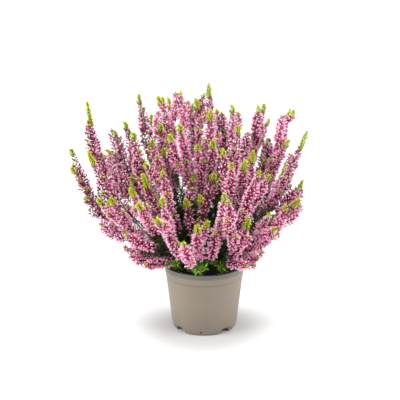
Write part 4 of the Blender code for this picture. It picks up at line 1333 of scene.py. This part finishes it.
def dress_undergrowth(number):
    """Leafy shoots without flowers that fill the inside of the plant, from one branch."""
    sizes = bpy.context.scene.heather_sizes
    draw = np.random.default_rng(INNER_SEED + number)
    bm = growth_mesh()
    foot = resample(branch_path(number), 20)
    shape = kept("leaf", leaf)
    middle = 0.0 if number == 0 else 2 * math.pi * (number - 1) / (BRANCH_COUNT - 1)
    for k in range(sizes.inner_shoots):
        azimuth = middle + draw.uniform(-0.5, 0.5) * (6.3 if number == 0 else 1.1)
        reach = draw.uniform(8, 38) if number == 0 else draw.uniform(34, 92)
        lift = draw.uniform(0.0, 0.25) if k % 4 == 0 else draw.uniform(0.45, 1.0)
        height = 116 + 94 * math.sqrt(max(0.0, 1 - (reach / 105) ** 2)) * lift
        tip = np.array([reach * math.sin(azimuth), -reach * math.cos(azimuth) * 0.92 + 6, height])
        start = foot[draw.integers(9, 20)]
        path = resample(bowed(start, tip, 0.35), 24)
        total = length_of(path)
        tube(bm, path, np.linspace(*INNER_RADII, 24), 5)
        count = int(total / INNER_LEAF_PITCH)
        stations = on_curve(path, np.linspace(0.1, 1, count) * total)
        place, ahead, across, over = stations
        for j in range(count):
            way = outward(across[j], over[j], j * GOLDEN)
            size = sizes.inner_leaf_length / MM * draw.uniform(0.7, 1.2)
            shape.put(bm, place[j] + way * 0.5, ahead[j] * 0.7 + way * 0.7, size, 1.8, j * GOLDEN, bend=0.1,
                      tone=draw.uniform(0, 1), bloom=draw.uniform(0.0, 0.75), material=LEAVES, flat=LEAF_FLAT)
        side_twigs(bm, total, stations, draw, 14.0, 8.5, 18, 3.8)
    new_piece(f"inner_foliage_{number + 1:02d}", bm,
              [kept("shaded_inner_leaf", shaded_inner_leaf_material), kept("stem", stem_material)])


def dress_fresh_shoot(number, curve):
    """A short bright shoot with two side shoots and long spreading leaves."""
    sizes = bpy.context.scene.heather_sizes
    draw = np.random.default_rng(FRESH_SEED + number)
    bm = growth_mesh()
    main = resample(curve.points, 24)
    paths = [part_of(main, FRESH_ROOT + 1.0, length_of(main))]
    tube(bm, main, np.linspace(0.8, 0.35, 24), 6)
    for turn in (-1, 1):
        foot, way = main[13], unit(main[-1] - main[13])
        across = unit(np.cross(way, (0, 0, 1))) * turn
        end = foot + way * 9 + across * 10 + np.array([0, 0, 5.0])
        path = resample(np.array([foot, foot + way * 6 + across * 4 + [0, 0, 3.0], end]), 10)
        tube(bm, path, np.linspace(0.5, 0.3, 10), 5)
        paths.append(path)
    shape = kept("leaf", leaf)
    for path in paths:
        at = np.arange(0.5, length_of(path) + 0.5, 0.8)
        place, ahead, across, over = on_curve(path, at)
        for k in range(len(at)):
            way = outward(across[k], over[k], k * GOLDEN)
            share = k / len(at)
            axis = ahead[k] * (0.3 + 0.6 * share) + way * (0.95 - 0.4 * share)
            size = sizes.basal_leaf_length / MM * draw.uniform(0.65, 1.1)
            shape.put(bm, place[k] + way * 0.4, axis, size, 2.8, k * GOLDEN, bend=0.12,
                      tone=draw.uniform(0, 1), bloom=draw.uniform(0.3, 1.0), material=LEAVES, flat=0.5)
    node = f"fresh_shoot_{number:02d}"
    new_piece(f"{node}_leaves", bm, [kept("basal_leaf", basal_leaf_material), kept("stem", stem_material)],
              [node])


# Studio


def soft_light(name, place, size, power):
    """A white softbox that looks at the pot."""
    lamp = bpy.data.lights.new(name, "AREA")
    lamp.shape = "RECTANGLE"
    lamp.size, lamp.size_y = size
    lamp.energy = power
    light = bpy.data.objects.new(name, lamp)
    bpy.context.scene.collection.objects.link(light)
    light.location = place
    light.rotation_euler = (Vector(LIGHT_AIM) - Vector(place)).to_track_quat("-Z", "Y").to_euler()


def make_stage():
    """Pale floor, soft light and the camera at the photograph's viewing angle."""
    studio = bpy.context.scene.heather_studio
    bm = bmesh.new()
    bmesh.ops.create_grid(bm, x_segments=1, y_segments=1, size=studio.floor_size / 2)
    mesh = bpy.data.meshes.new("studio_floor")
    bm.to_mesh(mesh)
    bm.free()
    material, tree, shader = new_material("pale_floor", studio.floor_colour, 0.7)
    # The floor's glow is painted light: it keeps the far floor white and fades out near the pot, so the soft
    # shadow round the foot is partly painted.
    where = tree.nodes.new("ShaderNodeTexCoord")
    far = tree.nodes.new("ShaderNodeVectorMath")
    far.operation = "DISTANCE"
    tree.links.new(where.outputs["Object"], far.inputs[0])
    far.inputs[1].default_value = GLOW_CENTRE
    distance = far.outputs["Value"]
    near_share = maths(tree, "MULTIPLY", smooth_between(tree, distance, *NEAR_GLOW_RANGE), NEAR_GLOW)
    far_share = maths(tree, "MULTIPLY", smooth_between(tree, distance, *FAR_GLOW_RANGE), FAR_GLOW)
    glow = combined(tree, maths(tree, "ADD", near_share, far_share))
    tree.links.new(glow, shader.inputs["Emission Color"])
    shader.inputs["Emission Strength"].default_value = studio.floor_glow
    mesh.materials.append(material)
    floor = bpy.data.objects.new("studio_floor", mesh)
    bpy.context.scene.collection.objects.link(floor)
    world = bpy.data.worlds.new("soft_studio")
    world.use_nodes = True
    sky = world.node_tree.nodes["Background"]
    sky.inputs["Color"].default_value = (1.0, 1.0, 1.0, 1.0)
    sky.inputs["Strength"].default_value = studio.ambient
    bpy.context.scene.world = world
    away, near, up = SIDE_LIGHT
    soft_light("top_softbox", TOP_LIGHT, TOP_LIGHT_SIZE, studio.top_power)
    soft_light("left_softbox", (-away, near, up), SIDE_LIGHT_SIZE, studio.side_power)
    soft_light("right_softbox", (away, near, up), SIDE_LIGHT_SIZE, RIGHT_SHARE * studio.side_power)
    data = bpy.data.cameras.new("photo_camera")
    data.sensor_width = CAMERA_SENSOR
    data.lens = CAMERA_FOCAL / CAMERA_PIXELS * CAMERA_SENSOR
    data.shift_x = -(CAMERA_COLUMN - CAMERA_PIXELS / 2) / CAMERA_PIXELS
    camera = bpy.data.objects.new("photo_camera", data)
    bpy.context.scene.collection.objects.link(camera)
    camera.location = CAMERA_PLACE
    camera.rotation_euler = (math.radians(90 - CAMERA_DOWN), 0.0, 0.0)
    bpy.context.scene.camera = camera
    bpy.context.scene.view_settings.view_transform = "Standard"


# Values that a user would change


def colour_value(name, description, default):
    return bpy.props.FloatVectorProperty(name=name, description=description, default=default,
                                         subtype="COLOR", size=3, min=0.0, max=1.0)


def size_value(name, description, default):
    return bpy.props.FloatProperty(name=name, description=description, default=default, min=0.0001,
                                   unit="LENGTH")


class HeatherSizes(bpy.types.PropertyGroup):
    """Sizes of florets and leaves."""

    floret_length: size_value("Floret length", "Stalk and bud together", 0.0096)
    floret_width: size_value("Floret width", "Width over which the sepals spread", 0.0068)
    florets_per_centimetre: bpy.props.FloatProperty(
        name="Florets per centimetre", description="Along a full spike", default=22.0, min=1.0)
    twig_spacing: size_value("Twig spacing", "Between the side twigs of a full spike", 0.015)
    tip_leaf_length: size_value("Tip leaf", "Length of the leaves at the green tips", 0.0052)
    stem_leaf_length: size_value("Stem leaf", "Length of the leaves on the woody stems", 0.0046)
    inner_leaf_length: size_value("Inner leaf", "Length of the leaves inside the plant", 0.0052)
    basal_leaf_length: size_value("Basal leaf", "Length of the leaves at the rim", 0.0088)
    inner_shoots: bpy.props.IntProperty(
        name="Inner shoots", description="Leafy shoots inside, for each branch", default=10, min=1)


class HeatherColours(bpy.types.PropertyGroup):
    """Colours of the plant, the peat and the pot."""

    floret: colour_value("Floret", "Light florets", (0.96, 0.135, 0.40))
    floret_deep: colour_value("Deep floret", "Deep florets", (0.42, 0.003, 0.085))
    floret_tip: colour_value("Floret tip", "Pale tips of the florets", (1.0, 0.72, 0.86))
    floret_dull: colour_value("Dull floret", "Buds that aren't in bloom", (0.15, 0.022, 0.045))
    # Floret foot: the stalk's own dark colour, deepened as painted shade between the florets near the stem.
    floret_foot_and_shade: colour_value("Floret foot", "Where a floret leaves the stem", (0.10, 0.006, 0.014))
    leaf: colour_value("Leaf", "Grown leaves", (0.10, 0.26, 0.018))
    leaf_deep: colour_value("Deep leaf", "Old leaves", (0.018, 0.065, 0.007))
    # Inner leaf colours are painted shade: darker than the outer leaves because they sit inside the bush.
    shaded_inner_leaf: colour_value("Inner leaf", "Leaves inside the plant", (0.034, 0.085, 0.008))
    shaded_inner_leaf_deep: colour_value("Deep inner leaf", "Old leaves inside the plant", (0.008, 0.020, 0.004))
    young_leaf: colour_value("Young leaf", "Leaves of the tips", (0.50, 0.62, 0.025))
    young_leaf_warm: colour_value("Warm young leaf", "Yellow leaves of the tips", (0.62, 0.54, 0.025))
    young_leaf_deep: colour_value("Deep young leaf", "Foot of a young leaf", (0.13, 0.24, 0.012))
    basal_leaf: colour_value("Basal leaf", "Leaves of the shoots at the rim", (0.13, 0.44, 0.02))
    basal_leaf_light: colour_value("Light basal leaf", "Young leaves at the rim", (0.42, 0.72, 0.04))
    stem: colour_value("Stem", "Bark of the stems", (0.045, 0.022, 0.017))
    stem_light: colour_value("Light stem", "Worn bark", (0.11, 0.065, 0.04))
    pot: colour_value("Pot", "Taupe plastic of the pot", (0.201, 0.166, 0.125))
    pot_light: colour_value("Light pot", "Worn plastic of the pot", (0.226, 0.190, 0.147))
    # Pot lip: a darker, greyer colour that paints the shade of the overhanging plant on the lip.
    pot_lip_shade: colour_value("Pot lip", "Worn lip, greyer than the wall", (0.116, 0.109, 0.104))
    peat: colour_value("Peat", "Moist peat", (0.010, 0.008, 0.006))
    peat_light: colour_value("Light peat", "Drier peat", (0.035, 0.026, 0.018))


class HeatherStudio(bpy.types.PropertyGroup):
    """Floor and light."""

    floor_size: bpy.props.FloatProperty(name="Floor size", description="Side of the floor", default=60.0,
                                        min=1.0, unit="LENGTH")
    floor_colour: colour_value("Floor", "Pale floor", (0.56, 0.56, 0.56))
    floor_glow: bpy.props.FloatProperty(name="Floor glow", description="Light that keeps the far floor white",
                                        default=0.86, min=0.0)
    ambient: bpy.props.FloatProperty(name="Ambient", description="Strength of the light all round",
                                     default=0.35, min=0.0)
    top_power: bpy.props.FloatProperty(name="Top light", description="Power of the top softbox",
                                       default=46.0, min=0.0, unit="POWER")
    side_power: bpy.props.FloatProperty(name="Side lights", description="Power of each side softbox",
                                        default=35.0, min=0.0, unit="POWER")


# Operators


class HEATHER_OT_pot(bpy.types.Operator):
    """Makes the pot"""

    bl_idname = "heather.pot"
    bl_label = "Pot"

    def execute(self, context):
        make_pot()
        return {"FINISHED"}


class HEATHER_OT_peat(bpy.types.Operator):
    """Makes the peat with its crumbs"""

    bl_idname = "heather.peat"
    bl_label = "Peat"

    def execute(self, context):
        make_peat()
        return {"FINISHED"}


class HEATHER_OT_sprays(bpy.types.Operator):
    """Makes the flower sprays"""

    bl_idname = "heather.sprays"
    bl_label = "Flower sprays"

    def execute(self, context):
        sprays, curves = kept("plant", plant)
        looks = FRONT_LOOKS + [SHADED_BACK_LOOK] * BACK_SPRAYS
        for number, (spray, look) in enumerate(zip(sprays, looks), 1):
            mine = [c for c in curves if c.node == number - 1]
            dress_spray(number, mine[0], mine[1:], spray, look)
        return {"FINISHED"}


class HEATHER_OT_branches(bpy.types.Operator):
    """Makes the woody branches with their leafy stems"""

    bl_idname = "heather.branches"
    bl_label = "Branches"

    def execute(self, context):
        sprays, curves = kept("plant", plant)
        for number in range(BRANCH_COUNT):
            dress_branch(number, [c for c in curves if c.kind == "main" and c.branch == number], sprays)
        return {"FINISHED"}


class HEATHER_OT_undergrowth(bpy.types.Operator):
    """Makes the leafy shoots inside the plant"""

    bl_idname = "heather.undergrowth"
    bl_label = "Inner foliage"

    def execute(self, context):
        for number in range(BRANCH_COUNT):
            dress_undergrowth(number)
        return {"FINISHED"}


class HEATHER_OT_twigs(bpy.types.Operator):
    """Makes the flowering twigs between the sprays and over the rim"""

    bl_idname = "heather.twigs"
    bl_label = "Flowering twigs"

    def execute(self, context):
        dress_twigs("front_twigs", TWIGS)
        dress_twigs("back_twigs", back_twigs())
        return {"FINISHED"}


class HEATHER_OT_fresh_shoots(bpy.types.Operator):
    """Makes the fresh shoots at the rim"""

    bl_idname = "heather.fresh_shoots"
    bl_label = "Fresh shoots"

    def execute(self, context):
        for number, curve in enumerate([c for c in kept("plant", plant)[1] if c.kind == "fresh"], 1):
            dress_fresh_shoot(number, curve)
        return {"FINISHED"}


class HEATHER_OT_stage(bpy.types.Operator):
    """Makes the floor, the lights and the camera"""

    bl_idname = "heather.stage"
    bl_label = "Stage"

    def execute(self, context):
        make_stage()
        return {"FINISHED"}


class HEATHER_PT_panel(bpy.types.Panel):
    """Lists the steps and the values"""

    bl_idname = "HEATHER_PT_panel"
    bl_label = "Potted heather"
    bl_space_type = "VIEW_3D"
    bl_region_type = "UI"
    bl_category = "Heather"

    def draw(self, context):
        for operator in OPERATORS:
            self.layout.operator(operator.bl_idname)
        scene = context.scene
        for group in (scene.heather_sizes, scene.heather_colours, scene.heather_studio):
            for name in group.__annotations__:
                self.layout.prop(group, name)


OPERATORS = (HEATHER_OT_stage, HEATHER_OT_pot, HEATHER_OT_peat, HEATHER_OT_branches, HEATHER_OT_sprays,
             HEATHER_OT_twigs, HEATHER_OT_undergrowth, HEATHER_OT_fresh_shoots)
CLASSES = (HeatherSizes, HeatherColours, HeatherStudio, *OPERATORS, HEATHER_PT_panel)


def register():
    for item in CLASSES:
        bpy.utils.register_class(item)
    bpy.types.Scene.heather_sizes = bpy.props.PointerProperty(type=HeatherSizes)
    bpy.types.Scene.heather_colours = bpy.props.PointerProperty(type=HeatherColours)
    bpy.types.Scene.heather_studio = bpy.props.PointerProperty(type=HeatherStudio)


def unregister():
    del bpy.types.Scene.heather_studio
    del bpy.types.Scene.heather_colours
    del bpy.types.Scene.heather_sizes
    for item in reversed(CLASSES):
        bpy.utils.unregister_class(item)


def main():
    register()
    bpy.ops.heather.stage()
    bpy.ops.heather.pot()
    bpy.ops.heather.peat()
    bpy.ops.heather.branches()
    bpy.ops.heather.sprays()
    bpy.ops.heather.twigs()
    bpy.ops.heather.undergrowth()
    bpy.ops.heather.fresh_shoots()
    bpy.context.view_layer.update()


if __name__ == "__main__":
    main()
